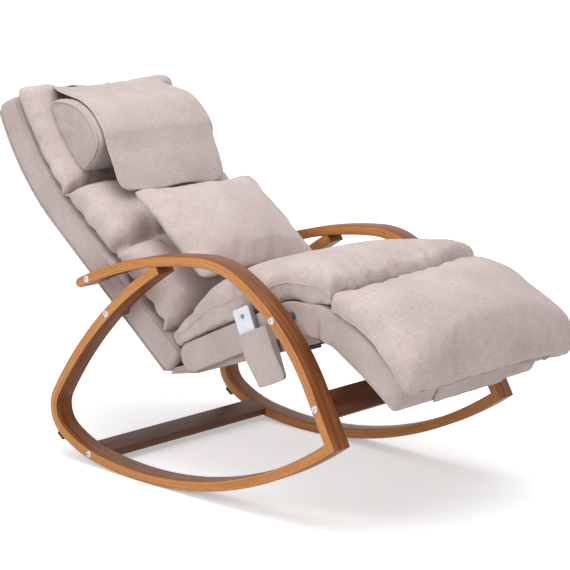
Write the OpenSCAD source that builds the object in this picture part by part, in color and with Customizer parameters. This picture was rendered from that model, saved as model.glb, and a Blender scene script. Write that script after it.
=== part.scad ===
// Bentwood rocking massage chair: +X points to the feet, +Y to the sitter's left, +Z up, floor at Z = 0.

/* [Wooden frame] */
// Width over the outer faces of the two side frames
frame_w = 660; // [640:5:740]
// Width of the bent laminate, seen from the front
laminate_w = 52; // [44:1:58]
// Thickness of the bent laminate
laminate_t = 25; // [22:0.5:28]
// Where the rockers touch the floor, measured from the chair's middle
floor_x = -113.5; // [-140:0.5:-80]
// Radius of the rocker's long bottom run, at its middle line
rocker_r = 1063.5; // [1000:0.5:1150]
// Sweep of the rocker ahead of the floor line
rocker_front_turn = 35.5; // [33:0.5:37]
// Sweep of the rocker behind the floor line
rocker_back_turn = 9.2; // [8:0.1:11]
// Radius where the rocker starts to rise at the back
rocker_rise_r = 342; // [320:1:360]
// Radius of the tight bend at the back
rocker_bend_r = 70; // [60:1:80]
// Radius of the rocker's upright
upright_r = 1145; // [1100:5:1200]
// Straight run of the arm above the front tip
arm_leg = 136; // [120:1:150]
// Radius of the arm's front bend
arm_front_r = 524; // [500:1:545]
// Radius of the arm's top bend
arm_top_r = 226; // [210:1:240]
// Radius of the arm behind the top bend
arm_rear_r = 1160; // [1100:5:1250]

/* [Crossbars and bolts] */
// Height of the front crossbar board
front_bar_h = 64; // [50:1:72]
// Thickness of both crossbar boards
bar_t = 20; // [16:1:24]
// Width of the rear crossbar board
rear_bar_w = 66; // [50:1:80]
// Diameter of the frame bolts
bolt_d = 8; // [6:0.5:10]
// Diameter of the bolt heads
bolt_head_d = 15; // [13:0.5:20]
// Diameter of the spacer tubes beside the body
spacer_d = 22; // [18:1:26]
// Front crossbar bolt, distance up the arm from the front tip
bar_bolt_up = 91; // [80:1:110]
// Seat bolt, distance up the arm from the front tip
seat_bolt_up = 314; // [300:1:325]
// Upper back bolt, distance in from the arm's rear end
back_bolt_in = 31; // [24:1:40]
// Length of the spacer tubes between the arms and the body
spacer_l = 18; // [10:1:24]
// Lower back bolt, depth under the back line
upright_bolt_deep = 52; // [38:1:54]
// Upper back bolt, distance up the back line
back_bolt_up = 299.2; // [280:0.1:310]
// Upper back bolt, depth under the back line
back_bolt_deep = 33.9; // [28:0.1:42]
// Rear crossbar bolt, distance behind the floor line
rear_bolt_back = 192; // [180:1:205]

/* [Seat] */
// Thickness of the upholstered side panels
panel_t = 14; // [10:1:18]
// Tilt of the seat line, rising to the front
seat_tilt = 24.5; // [22:0.5:27]
// Straight run of the seat line
seat_run = 347; // [330:1:365]
// Height of the seat side panel
seat_panel_h = 74; // [68:1:84]
// Thickness of the seat pad at the knee
seat_pad_t = 95; // [80:1:105]
// Extra height of the seat pad under the thighs
seat_swell = 34; // [0:1:40]
// Depth of the tray under the seat line at its front
tray_h = 114; // [100:1:125]
// Number of webbing straps
strap_count = 5; // [3:1:6]
// Width of a webbing strap
strap_w = 50; // [30:1:55]

/* [Back] */
// Angle of the back's straight run above the floor, leaning to the rear
back_rise = 38; // [36:0.5:42]
// Straight run of the back
back_run = 528; // [500:1:560]
// Radius of the back's curve towards the head
back_r = 602; // [560:1:700]
// Sweep of the back's curve
back_turn = 31; // [28:0.5:33]
// Thickness of the back shell
back_t = 82; // [76:1:95]
// Thickness of the back shell's skin
back_skin = 10; // [6:1:12]
// Thickness of the back pad
back_pad_t = 96; // [85:1:110]
// Thickness of the head pad
head_pad_t = 64; // [50:1:75]
// Where the back pad ends and the head pad starts, up the back line
crease_s = 546; // [535:1:560]

/* [Steel frames] */
// Height of the side tubes
tube_h = 40; // [34:1:44]
// Width of the side tubes
tube_w = 20; // [16:1:24]
// Wall of the tubes
tube_wall = 2; // [1.5:0.5:3]
// Thickness of the brackets and lugs
bracket_t = 5; // [4:0.5:6]
// Diameter of the legrest hinge pins
hinge_pin_d = 10; // [8:0.5:12]

/* [Massage unit] */
// Diameter of the guide rods
rod_d = 14; // [10:0.5:16]
// Distance between the guide rods
rod_gap = 240; // [220:2:260]
// Diameter of the lead screw
screw_d = 12; // [10:0.5:14]
// Travel of the carriage each way
carriage_travel = 100; // [60:1:105]
// Where the carriage rests, up the back line
carriage_s = 305; // [300:1:312]
// Distance between the two kneading discs
disc_gap = 124; // [118:1:130]
// Diameter of a kneading disc
disc_d = 96; // [80:1:104]
// Diameter of a massage ball
ball_d = 40; // [30:1:42]

/* [Legrest] */
// Thickness of the legrest casing
legrest_t = 80; // [74:1:88]
// Radius of the legrest line behind its straight run
legrest_r = 400; // [360:5:450]
// Straight run of the legrest line
legrest_run = 105; // [90:1:130]
// Thickness of the calf pad
calf_pad_t = 104; // [85:1:112]
// How far the calf pad reaches past the casing's sides at its front
calf_flare = 27; // [20:1:42]
// How far the calf pad reaches past the casing
calf_overhang = 34; // [25:1:50]
// Lift of the legrest
legrest_lift = 20; // [12:1:20]

/* [Cushions] */
// Width of the neck pillow
pillow_w = 430; // [380:2:440]
// Thickness of the neck pillow
pillow_t = 124; // [100:1:132]
// Height of the neck pillow along the head pad
pillow_h = 244; // [210:1:250]
// Width of the pillow flap
flap_w = 356; // [300:2:380]
// Thickness of the flap and the legrest's end flap
cloth_t = 4; // [3:0.5:6]
// Width of the throw cushion
throw_w = 424; // [400:2:460]
// Height of the throw cushion
throw_h = 304; // [280:2:320]
// Thickness of the throw cushion
throw_t = 116; // [90:2:130]

/* [Remote] */
// Width of the remote
remote_w = 56; // [48:1:60]
// Length of the remote
remote_l = 112; // [100:1:125]
// Thickness of the remote
remote_t = 15; // [12:0.5:16]
// Width of the pocket
pocket_w = 96; // [94:1:112]
// Height of the pocket
pocket_h = 130; // [115:1:150]
// Travel of the power button
button_travel = 0.8; // [0.5:0.1:1.2]

/* [Hidden] */
$fn = 48;

wood = "#c4864f";
wood_dark = "#6b4630";
linen = "#cbbdbb";
linen_shade = "#b9aaa8";
steel = "#8d9196";
bright = "#c9ccd0";
black = "#222224";
pale = "#dfe6ee";

touch = 0.3;         // gap of soft pieces and of pieces that pass each other
hole_clear = 0.25;   // radial clearance of bolt holes
turn_clear = 0.35;   // radial clearance of the massage discs' shafts
run_clear = 0.05;    // radial clearance of running fits
through = 1;         // how far a cutting solid passes the face that it cuts

// ---------- Paths in the side view: a state is [x, z, heading], a run is [radius, turn] or [0, length].

function run_length(run) = run[0] == 0 ? run[1] : run[0] * abs(run[1]) * PI / 180;
function move(s, run, f) =
    let (h = s[2], a = run[1] * f, q = sign(run[1]) * run[0])
    run[0] == 0
        ? [s[0] + a * cos(h), s[1] + a * sin(h), h]
        : [s[0] + q * (sin(h + a) - sin(h)), s[1] - q * (cos(h + a) - cos(h)), h + a];
function rest_of(v) = [for (i = [1 : 1 : len(v) - 1]) v[i]];
function steps(run) = run[0] == 0 ? 1 : ceil(max(abs(run[1]) / 6, run_length(run) / 40));
function trace(s, runs) =
    len(runs) == 0 ? [s]
    : concat([for (i = [0 : steps(runs[0]) - 1]) move(s, runs[0], i / steps(runs[0]))],
             trace(move(s, runs[0], 1), rest_of(runs)));
function at(s, runs, d) =
    d <= run_length(runs[0]) || len(runs) == 1
        ? move(s, runs[0], d / run_length(runs[0]))
        : at(move(s, runs[0], 1), rest_of(runs), d - run_length(runs[0]));
function total(runs) = len(runs) == 0 ? 0 : run_length(runs[0]) + total(rest_of(runs));

// The point a distance to the left of a state's heading
function left(s, d) = [s[0] - d * sin(s[2]), s[1] + d * cos(s[2])];
function strip(path, a, b) =
    concat([for (s = path) left(s, a)], [for (i = [len(path) - 1 : -1 : 0]) left(path[i], b)]);

// Extrudes a side-view outline from y0 to y1
module slab(y0, y1) {
    rotate([90, 0, 0]) translate([0, 0, -y1]) linear_extrude(y1 - y0) children();
}

module both_sides() {
    children();
    mirror([0, 1, 0]) children();
}

// A bar along Y at a side-view point
module rod_y(p, d, y0, y1) {
    translate([p[0], y0, p[1]]) rotate([-90, 0, 0]) cylinder(d = d, h = y1 - y0);
}

// Closed skin over rings of equal point count, the first and last ring capped
module loft(rings) {
    k = len(rings[0]);
    n = len(rings);
    pts = [for (r = rings) each r];
    sides = [for (i = [0 : n - 2], j = [0 : k - 1])
        let (a = i * k + j, b = i * k + (j + 1) % k, c = a + k, d = b + k)
        each [[a, d, b], [a, c, d]]];
    caps = [for (j = [1 : k - 2]) each [[0, j, j + 1], [(n - 1) * k, (n - 1) * k + j + 1, (n - 1) * k + j]]];
    polyhedron(points = pts, faces = concat(sides, caps));
}

// The same for a bent sheet, each ring its outer line and then its inner line back
module sheet_loft(rings) {
    k = len(rings[0]);
    n = len(rings);
    sides = [for (i = [0 : n - 2], j = [0 : k - 1])
        let (a = i * k + j, b = i * k + (j + 1) % k, c = a + k, d = b + k)
        each [[a, d, b], [a, c, d]]];
    caps = [for (j = [0 : k / 2 - 2]) let (a = j, b = j + 1, c = k - 2 - j, d = k - 1 - j, e = (n - 1) * k)
        each [[a, b, c], [a, c, d], [e + a, e + c, e + b], [e + a, e + d, e + c]]];
    polyhedron(points = [for (r = rings) each r], faces = concat(sides, caps));
}

function curve(v, p) = sign(v) * pow(abs(v), p);

// ---------- Frame curves

half_t = laminate_t / 2;
side_in = frame_w / 2 - laminate_w;
low_point = [floor_x, half_t];
rocker_fore = [[rocker_r, rocker_front_turn]];
tip = move([low_point[0], low_point[1], 0], rocker_fore[0], 1);
rise_turn = 21.8;
bend_turn = 91.8;
upright_turn = 29.8;
arm_heading = 118.6;
arm_front_turn = 34.8;
arm_top_turn = 29.3;
arm_rear_turn = 21.9;
mitre_extra = 30;
mitre_cut = 140;
mitre_angle = (arm_heading + 180 + tip[2]) / 2;

rocker_start = [tip[0], tip[1], 180 + tip[2]];
rocker_runs = [[rocker_r, -rocker_front_turn - rocker_back_turn], [rocker_rise_r, -rise_turn],
    [rocker_bend_r, -bend_turn], [upright_r, -upright_turn]];
rocker_path = concat([move(rocker_start, [0, -mitre_extra], 1)], trace(rocker_start, rocker_runs));
arm_start = [tip[0], tip[1], arm_heading];
arm_runs = [[0, arm_leg], [arm_front_r, arm_front_turn], [arm_top_r, arm_top_turn], [arm_rear_r, arm_rear_turn]];
arm_path = concat([move(arm_start, [0, -mitre_extra], 1)], trace(arm_start, arm_runs));

bolt_a = at(arm_start, arm_runs, total(arm_runs) - back_bolt_in);
bolt_c = at(arm_start, arm_runs, seat_bolt_up);
bolt_d_at = at(arm_start, arm_runs, bar_bolt_up);
bolt_e = at(rocker_start, rocker_runs, rocker_r * rocker_front_turn * PI / 180 + rear_bolt_back);

// ---------- Body lines

panel_out = side_in - spacer_l;
panel_in = panel_out - panel_t;
tube_out = panel_in - bracket_t;
tube_in = tube_out - tube_w;

back_normal = [sin(back_rise), cos(back_rise)];
back_foot = [bolt_a[0] + back_bolt_up * cos(back_rise) + back_bolt_deep * sin(back_rise),
    bolt_a[1] - back_bolt_up * sin(back_rise) + back_bolt_deep * cos(back_rise), 180 - back_rise];
back_runs = [[0, back_run], [back_r, -back_turn]];
back_len = total(back_runs);
back_line = trace(back_foot, back_runs);
function back_at(s, n) = left(at(back_foot, back_runs, s), -n);

seat_start = [back_foot[0] + 18, back_foot[1] + 28, seat_tilt];
seat_runs = [[0, seat_run], [120, -seat_tilt], [0, 79]];
seat_line = trace(seat_start, seat_runs);
seat_len = total(seat_runs);
function seat_at(s, n) = left(at(seat_start, seat_runs, s), n);
function seat_point(u, n) = left(move(seat_start, [0, u], 1), n);
knee = at(seat_start, seat_runs, seat_len);
hinge_drop = 13;
hinge = [knee[0] + 6, knee[1] - hinge_drop];
hinge_face = hinge[0] - 5;   // where the legrest's rear face stands

legrest_start = [knee[0] + 3, knee[1] - 3, -14];
legrest_runs = [[legrest_r, -24], [0, legrest_run]];
legrest_len = total(legrest_runs);
legrest_line = trace(legrest_start, legrest_runs);
function legrest_at(s, n) = left(at(legrest_start, legrest_runs, s), n);

tube_top = 14;       // depth of the side tubes' upper face under the seat and back lines

// The lower back bolt stands where the rocker's upright passes its depth under the back line
upright_from = total([for (i = [0 : 2]) rocker_runs[i]]);
function height_over_back(s) = [s[0] - back_foot[0], s[1] - back_foot[1]] * back_normal;
function upright_find(lo, hi, tries) =
    let (mid = (lo + hi) / 2)
    tries == 0 ? mid
    : height_over_back(at(rocker_start, rocker_runs, mid)) < -upright_bolt_deep
        ? upright_find(mid, hi, tries - 1) : upright_find(lo, mid, tries - 1);
bolt_b = at(rocker_start, rocker_runs, upright_find(upright_from, total(rocker_runs), 30));
arm_bolts = [bolt_a, bolt_c, bolt_d_at];
rocker_bolts = [bolt_b, bolt_e];
body_bolts = [bolt_a, bolt_b, bolt_c];
bar_bolts = [bolt_d_at, bolt_e];

// Local frames: X along the seat or down the back, Z square to it and out of the chair
module seat_local() {
    translate([seat_start[0], 0, seat_start[1]]) rotate([0, -seat_tilt, 0]) children();
}
module back_local() {
    translate([back_foot[0], 0, back_foot[1]]) rotate([0, back_rise, 0]) mirror([1, 0, 0]) children();
}

module bolt_holes(points, d) {
    for (p = points) both_sides() rod_y(p, d + 2 * hole_clear, 0, frame_w);
}

// ---------- Wooden frame

// The half plane on one side of the mitre at the front tip
module mitre_side(up) {
    translate([tip[0], tip[1]]) rotate(mitre_angle)
        translate([-mitre_cut / 2, up ? -mitre_cut : 0]) square(mitre_cut);
}

module arm_outline() {
    difference() {
        union() {
            polygon(strip(arm_path, half_t, -half_t));
            translate([arm_path[len(arm_path) - 1][0], arm_path[len(arm_path) - 1][1]]) circle(d = laminate_t);
        }
        mitre_side(false);
    }
}

module side_arm() {
    difference() {
        slab(side_in, frame_w / 2) arm_outline();
        bolt_holes(arm_bolts, bolt_d);
    }
}

module side_rocker() {
    difference() {
        slab(side_in, frame_w / 2) difference() {
            polygon(strip(rocker_path, half_t, -half_t));
            mitre_side(true);
            polygon(strip(arm_path, half_t, -half_t * 3));
        }
        bolt_holes(rocker_bolts, bolt_d);
    }
}

module left_arm() { color(wood) side_arm(); }
module right_arm() { color(wood) mirror([0, 1, 0]) side_arm(); }
module left_rocker() { color(wood) side_rocker(); }
module right_rocker() { color(wood) mirror([0, 1, 0]) side_rocker(); }

bar_hole_l = 46;
nut_in = 30;         // distance of the barrel nuts from the boards' ends
nut_d = 14;

// A board between the side frames: centre, heading, width along the heading, offset to the left
module crossbar(s, w, off) {
    c = left(s, off);
    difference() {
        translate([c[0], 0, c[1]]) rotate([0, -s[2], 0]) cube([w, side_in * 2 - touch, bar_t], center = true);
        both_sides() rod_y(s, bolt_d + 2 * hole_clear, side_in - bar_hole_l, side_in + through);
        both_sides() translate([s[0], side_in - nut_in, s[1]]) rotate([0, -s[2], 0])
            cylinder(d = nut_d, h = laminate_t * 3, center = true);
    }
}
front_bar_off = -(half_t - bar_t / 2);
rear_bar_off = -(half_t - bar_t / 2);
module front_crossbar() { color(wood_dark) crossbar(bolt_d_at, front_bar_h, front_bar_off); }
module rear_crossbar() { color(wood_dark) crossbar(bolt_e, rear_bar_w, rear_bar_off); }

head_t = 3;
body_bolt_l = frame_w / 2 - tube_out + 14;
bar_bolt_l = laminate_w + nut_in + nut_d / 2;

module frame_bolt(p, l) {
    rod_y(p, bolt_d, frame_w / 2 - l, frame_w / 2);
    difference() {
        rod_y(p, bolt_head_d, frame_w / 2, frame_w / 2 + head_t);
        translate([p[0], frame_w / 2 + head_t / 2, p[1]]) rotate([-90, 0, 0])
            cylinder(d = bolt_d * 0.6, h = head_t, $fn = 6);
    }
}
module frame_bolts() {
    color(bright) both_sides() {
        for (p = body_bolts) frame_bolt(p, body_bolt_l);
        for (p = bar_bolts) frame_bolt(p, bar_bolt_l);
    }
}

// Cross nuts in the boards, drilled for the bolts
module barrel_nuts() {
    color(bright) both_sides() for (b = [[bolt_d_at, front_bar_off], [bolt_e, rear_bar_off]]) difference() {
        translate([left(b[0], b[1])[0], side_in - nut_in, left(b[0], b[1])[1]]) rotate([0, -b[0][2], 0])
            cylinder(d = nut_d - 2 * run_clear, h = bar_t - 2, center = true);
        rod_y(b[0], bolt_d + 2 * run_clear, side_in - nut_in - nut_d, side_in);
    }
}

// Tubes that hold the body clear of the arms
module spacers() {
    color(black) both_sides() for (p = body_bolts) difference() {
        rod_y(p, spacer_d, panel_out, side_in);
        rod_y(p, bolt_d + 2 * hole_clear, panel_out - through, side_in + through);
    }
}

stop_w = 24;
stop_h = 18;
stop_back = 305;     // distance of the stops behind the floor line, along the rocker
// Rubber blocks under the rockers' rear, which meet the floor when the chair tips back
module rocker_stops() {
    s = at(rocker_start, rocker_runs, rocker_r * rocker_front_turn * PI / 180 + stop_back);
    p = left(s, half_t);
    color(black) both_sides() difference() {
        translate([p[0], side_in + laminate_w / 2, p[1]]) rotate([0, -s[2], 0])
            translate([-stop_w / 2, -laminate_w / 2 + 6, -6]) cube([stop_w, laminate_w - 12, stop_h]);
        slab(side_in - through, frame_w / 2 + through) polygon(strip(rocker_path, half_t, -half_t * 2));
    }
}

// ---------- Seat

tube_front = 392;    // front end of the seat tubes along the seat line

ear_d = 21;
module seat_frame() {
    color(steel) difference() {
        union() {
            seat_local() {
                both_sides() translate([6, tube_in, -tube_top - tube_h]) difference() {
                    cube([tube_front - 6, tube_w, tube_h]);
                    translate([-through, tube_wall, tube_wall])
                        cube([tube_front + through, tube_w - 2 * tube_wall, tube_h - 2 * tube_wall]);
                }
                for (u = [26, tube_front - 60]) translate([u, -tube_in, -tube_top - tube_h]) difference() {
                    cube([30, tube_in * 2, 25]);
                    translate([tube_wall, -through, tube_wall])
                        cube([30 - 2 * tube_wall, tube_in * 2 + 2 * through, 25 - 2 * tube_wall]);
                }
            }
            both_sides() slab(tube_out, panel_in) hull() {
                translate(hinge) circle(d = ear_d);
                for (n = [-22, -46]) translate(seat_point(360, n)) circle(d = 12);
            }
        }
        both_sides() rod_y(hinge, hinge_pin_d + 2 * run_clear, 0, frame_w);
        bolt_holes([bolt_c], bolt_d);
    }
}

panel_nose = 6;      // centre of the flanks' rounded rear end, along the seat line
// The seat's rounded upholstered flanks
module seat_side_panels() {
    r = seat_panel_h / 2;
    color(linen) difference() {
        both_sides() slab(panel_in, panel_out) polygon(concat(
            [for (s = seat_line) left(s, 0)],
            [[knee[0] - 12, knee[1] - seat_panel_h - 8]],
            [for (u = [seat_run - 40, panel_nose]) seat_point(u, -seat_panel_h)],
            [for (a = [260 : -20 : 100]) seat_point(panel_nose + r * cos(a), -r + r * sin(a))]));
        bolt_holes([bolt_c], bolt_d);
        both_sides() rod_y(hinge, 30, panel_in - through, panel_in + 4);
    }
}

tray_front = 414;
tray_wall = 6;
tray_rear_h = 78;    // depth of the tray under the seat line at the heel of the back
tray_lid = tube_top + tube_h + touch;
tray_front_lid = 80; // depth of the tray's front edge, under the hinge lugs
tray_floor_slope = atan((tray_h - tray_rear_h) / tray_front);

// The tray's side view, drawn in by w; its rear edge follows the back shell's end
function tray_outline(w, up) = [
    back_at(-touch - w, -tray_lid + up), back_at(-touch - w, -back_t + 3 + w),
    seat_point(0, -tray_rear_h + w), seat_point(tray_front - w, -tray_h + w),
    seat_point(tray_front - w, -tray_front_lid + up), seat_point(seat_run, -tray_lid + up),
    seat_point(0, -tray_lid + up)];

// Frame of the tray's sloping floor, Z out of the seat
module tray_floor() {
    seat_local() translate([0, 0, -tray_rear_h]) rotate([0, tray_floor_slope, 0]) children();
}
inlet_y = 90;
inlet_w = 50;
inlet_l = 28;
switch_w = 21;
switch_l = 15;
panel_cut_x = 60;

module seat_tray() {
    color(linen_shade) difference() {
        slab(-panel_in + touch, panel_in - touch) polygon(tray_outline(0, 0));
        slab(-panel_in + tray_wall, panel_in - tray_wall) polygon(tray_outline(tray_wall, 3 * through));
        tray_floor() translate([panel_cut_x, inlet_y, 0]) cube([inlet_l, inlet_w, 40], center = true);
        tray_floor() translate([panel_cut_x, inlet_y + inlet_w, 0]) cube([switch_l, switch_w, 40], center = true);
    }
}

strap_t = 2.5;
module seat_webbing() {
    pitch = (tube_front - 40) / strap_count;
    color(black) seat_local() for (i = [0 : strap_count - 1])
        translate([20 + pitch * i, -tube_out, -tube_top]) cube([strap_w, tube_out * 2, strap_t]);
}

foam_from = 10;
module seat_foam() {
    color("#e7dfae") seat_local()
        translate([foam_from, -tube_out, -tube_top + strap_t]) cube([seat_run - foam_from, tube_out * 2, tube_top - strap_t]);
}

// Ring of a pad at a line's state: half width, height, share of the height under the widest point
function pad_ring(s, base, half_w, h, k, low = 0.4) = [for (j = [0 : k - 1])
    let (t = -90 + 360 * j / k, c = cos(t), q = sin(t),
         y = half_w * curve(c, q < 0 ? 0.32 : 0.62),
         n = base + h * low + h * (q < 0 ? low : 1 - low) * curve(q, q < 0 ? 0.5 : 0.75),
         p = left(s, n))
    [p[0], y, p[1]]];

// Height share near a pad's ends, round over a length r
function end_round(d, len, r) = let (e = min(d, len - d)) e >= r ? 1 : sqrt(max(0.06, 1 - pow(1 - e / r, 2)));
function channel(d, at_d, depth, w) = 1 - depth * exp(-pow((d - at_d) / w, 2));

pad_k = 24;

seat_normal = [-sin(seat_tilt), cos(seat_tilt)];
seat_pad_lean = 24;  // lean of the seat pad's front face over the hinge
pad_tail = 44;       // reach of the seat pad behind the seat line's start
pad_nose = 27;       // reach of the seat pad ahead of the knee
nose_round = 60;     // how far back its front end rounds off
// Lowest height of the seat pad: clear of the back shell behind, of the legrest in front
function pad_base(p, d) = max(touch,
    (2 * touch - (p - [back_foot[0], back_foot[1]]) * back_normal) / (seat_normal * back_normal),
    d < seat_len ? 0 : (p[0] - hinge[0] + 4) / tan(seat_pad_lean) - hinge_drop);
function seat_swell_at(d) = seat_pad_t * (d < 100 ? 0.5 + (d + pad_tail) / 288 : 1)
    + seat_swell * (d < 20 || d > 320 ? 0 : sin(180 * (d - 20) / 300));

// Seat pad: crowned, lower at the rear, with a channel across its middle
module seat_pad() {
    n = 24;
    len = pad_tail + seat_len + pad_nose;
    color(linen) loft([for (i = [0 : n])
        let (d = -pad_tail + len * i / n, f = i / n,
             s = d < 0 ? move(seat_start, [0, d], 1)
               : d > seat_len ? move(knee, [0, d - seat_len], 1) : at(seat_start, seat_runs, d),
             base = pad_base([s[0], s[1]], d),
             top = seat_swell_at(d) * (d > 200 ? end_round(seat_len + pad_nose - d, len, nose_round) : 1)
                 * channel(d, seat_run * 0.5, 0.07, 16))
        pad_ring(s, base, panel_out + 4 - 6 * sin(180 * f), max(10, top - base), pad_k)]);
}

module corner_brackets() {
    foot = back_at(34, -tube_top - tube_h / 2);
    heel = back_at(90, -tube_top - tube_h / 2);
    front = seat_at(70, -tube_top - tube_h / 2);
    color(steel) both_sides() slab(tube_out + touch, panel_in - touch) {
        hull() for (p = [foot, front]) translate(p) circle(d = tube_h - 6);
        hull() for (p = [foot, heel]) translate(p) circle(d = tube_h - 6);
    }
}

nut_af = 13;
weld_nut_t = 6.5;
module weld_nuts() {
    color(bright) both_sides() for (p = body_bolts) difference() {
        translate([p[0], tube_out - tube_wall - weld_nut_t, p[1]]) rotate([-90, 0, 0])
            cylinder(d = nut_af / cos(30), h = weld_nut_t, $fn = 6);
        rod_y(p, bolt_d + 2 * run_clear, 0, frame_w);
    }
}

box_l = 150;
box_w = 190;
box_h = 30;
module control_box() {
    color("#3a3d42") tray_floor() translate([150, -box_w / 2 - 40, tray_wall]) difference() {
        cube([box_l, box_w, box_h]);
        translate([3, 3, 3]) cube([box_l - 6, box_w - 6, box_h - 6]);
    }
}

// Appliance inlet with three blades in its well
module power_inlet() {
    color(black) tray_floor() translate([panel_cut_x, inlet_y, 0]) difference() {
        union() {
            cube([inlet_l - 2 * touch, inlet_w - 2 * touch, 24], center = true);
            translate([0, 0, tray_wall + 1.5]) cube([inlet_l + 8, inlet_w - 4, 3 - 2 * touch], center = true);
        }
        translate([0, 0, -7]) difference() {
            cube([inlet_l - 8, inlet_w - 22, 18], center = true);
            for (y = [-7, 0, 7]) translate([y == 0 ? 3 : -3, y, 3]) cube([4, 2, 12], center = true);
        }
    }
}

switch_rock = 9;
// Rocker switch key beside the inlet
module power_switch() {
    color(black) tray_floor() translate([panel_cut_x, inlet_y + inlet_w, 0]) difference() {
        rotate([90, 0, 0]) cylinder(r = switch_l / 2 - touch, h = switch_w - 2 * touch, center = true);
        translate([0, 0, -18]) rotate([90, 0, 0]) cylinder(r = 14, h = switch_w, center = true);
    }
}

vib_l = 60;
vib_d = 36;
// Sealed motor with an unbalanced weight, clamped under the foam
module vibrator() {
    rotate([90, 0, 0]) cylinder(d = vib_d, h = vib_l, center = true);
    translate([-vib_d / 2 - 6, -vib_l / 4, -vib_d / 2 - 2]) cube([vib_d + 12, vib_l / 2, 4]);
}
module seat_vibrator() {
    color(black) seat_local() translate([190, 0, -tube_top - vib_d / 2 - touch]) vibrator();
    color(steel) seat_local() translate([180, -tube_in, -tube_top - vib_d - 6]) cube([20, tube_in * 2, 4 - touch]);
}

// ---------- Back

round_top = 26;
// The shell's rear face, eased round at the head end
function back_depth(d) = d < back_len - round_top ? back_t
    : back_t - round_top + sqrt(max(0, round_top * round_top - pow(d - back_len + round_top, 2)));
back_ds = concat([0, back_run], [for (i = [1 : 14]) back_run + (back_len - back_run) * i / 16],
    [for (a = [50 : 10 : 90]) back_len - round_top + round_top * sin(a)]);

module back_outline() {
    polygon(concat([for (d = back_ds) back_at(d, 0)],
        [for (i = [len(back_ds) - 1 : -1 : 0]) back_at(back_ds[i], -back_depth(back_ds[i]))]));
}

module back_shell() {
    color(linen) difference() {
        slab(-panel_out, panel_out) back_outline();
        slab(-panel_in, panel_in) polygon(strip(
            trace(move(back_foot, [0, -through], 1), [[0, back_run + through], [back_r, -back_turn + 3]]),
            back_t - back_skin, -through));
        bolt_holes([bolt_a, bolt_b], bolt_d);
    }
}

back_tube_h = 52;    // height of the back's side tubes, which take both back bolts
head_bar_below = 59.7;   // the top cross member, under the back's head end
back_bars = [back_run - 8, back_run + (back_len - back_run) * 0.467, back_len - head_bar_below];   // up the back line
back_bar_w = 24;
back_tube_turn = 27; // how far the side tubes follow the back's bend
module back_frame() {
    line = trace(move(back_foot, [0, 14], 1), [[0, back_run - 14], [back_r, -back_tube_turn]]);
    color(steel) difference() {
        union() {
            both_sides() slab(tube_in, tube_out) polygon(strip(line, tube_top, tube_top + back_tube_h));
            for (d = back_bars) let (s = at(back_foot, back_runs, d), c = left(s, tube_top + tube_h / 2))
                translate([c[0], 0, c[1]]) rotate([0, -s[2], 0]) cube([back_bar_w, tube_in * 2, tube_w], center = true);
            both_sides() for (p = [bolt_a, bolt_b]) rod_y(p, 30, tube_out, panel_in);
        }
        both_sides() slab(tube_in + tube_wall, tube_out - tube_wall) polygon(strip(
            trace(move(back_foot, [0, 10], 1), [[0, back_run - 10], [back_r, -back_tube_turn - 0.2]]),
            tube_top + tube_wall, tube_top + back_tube_h - tube_wall));
        bolt_holes([bolt_a, bolt_b], bolt_d);
    }
}

rod_n = -46;         // depth of the guide rods under the back line
screw_n = -52;
rod_first = 118;
rod_last = 492;
bracket_d = 6;

module guide_rods() {
    color(bright) back_local() for (y = [-1, 1]) translate([rod_first, y * rod_gap / 2, rod_n])
        rotate([0, 90, 0]) cylinder(d = rod_d, h = rod_last - rod_first);
}

// Cross plates that carry the rods and the screw between the side tubes
module rod_brackets() {
    color(steel) back_local() difference() {
        for (d = [rod_first, rod_last - bracket_d])
            translate([d, -tube_in + touch / 2, -back_t + back_skin + 2])
                cube([bracket_d, tube_in * 2 - touch, back_t - back_skin - tube_top - 2]);
        for (y = [-1, 1]) translate([rod_first - through, y * rod_gap / 2, rod_n])
            rotate([0, 90, 0]) cylinder(d = rod_d + 2 * run_clear, h = rod_last);
        translate([rod_first - through, 0, screw_n]) rotate([0, 90, 0])
            cylinder(d = screw_d + 2 * run_clear, h = rod_last);
    }
}

thread_pitch = 8;
thread_depth = 1;
screw_first = rod_first - 12;
// Lead screw: plain ends and a grooved middle
module lead_screw() {
    color(bright) back_local() translate([screw_first, 0, screw_n]) rotate([0, 90, 0]) difference() {
        cylinder(d = screw_d, h = rod_last - screw_first);
        for (z = [24 : thread_pitch * 2 : rod_last - screw_first - 14]) translate([0, 0, z]) difference() {
            cylinder(d = screw_d + 2, h = thread_pitch / 2);
            translate([0, 0, -through]) cylinder(d = screw_d - 2 * thread_depth, h = thread_pitch);
        }
    }
}

motor_d = 34;
motor_l = 74;
module lift_motor() {
    color("#4a4d52") back_local() translate([screw_first - touch, 0, screw_n + 2]) rotate([0, -90, 0]) {
        cylinder(d = motor_d, h = motor_l);
        translate([-motor_d / 2 + 2, -tube_in + touch / 2, 10]) cube([4, tube_in * 2 - touch, 40]);
    }
}

cavity_half = 128;
cavity_h = 62;
cavity_first = carriage_s - carriage_travel - disc_d / 2 - 16;
cavity_last = carriage_s + carriage_travel + disc_d / 2 + 16;

pad_channel = 94;    // upper sewn channel of the back pad, under its head end
// Back pad: sewn channels across, and a hollow for the massage balls
module back_pad() {
    first = 72;
    last = crease_s - touch;
    n = 26;
    color(linen) difference() {
        loft([for (i = [0 : n])
            let (d = first + (last - first) * i / n, f = i / n, s = at(back_foot, back_runs, d),
                 h = back_pad_t * end_round(d - first, last - first, 52) * channel(d, last - pad_channel, 0.16, 14)
                     * channel(d, first + 68, 0.08, 14))
            mirrored_ring(s, touch, panel_out + 3 - 8 * sin(180 * f), h, pad_k)]);
        back_local() translate([cavity_first, -cavity_half, -through])
            cube([cavity_last - cavity_first, cavity_half * 2, cavity_h + through]);
    }
}

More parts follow.
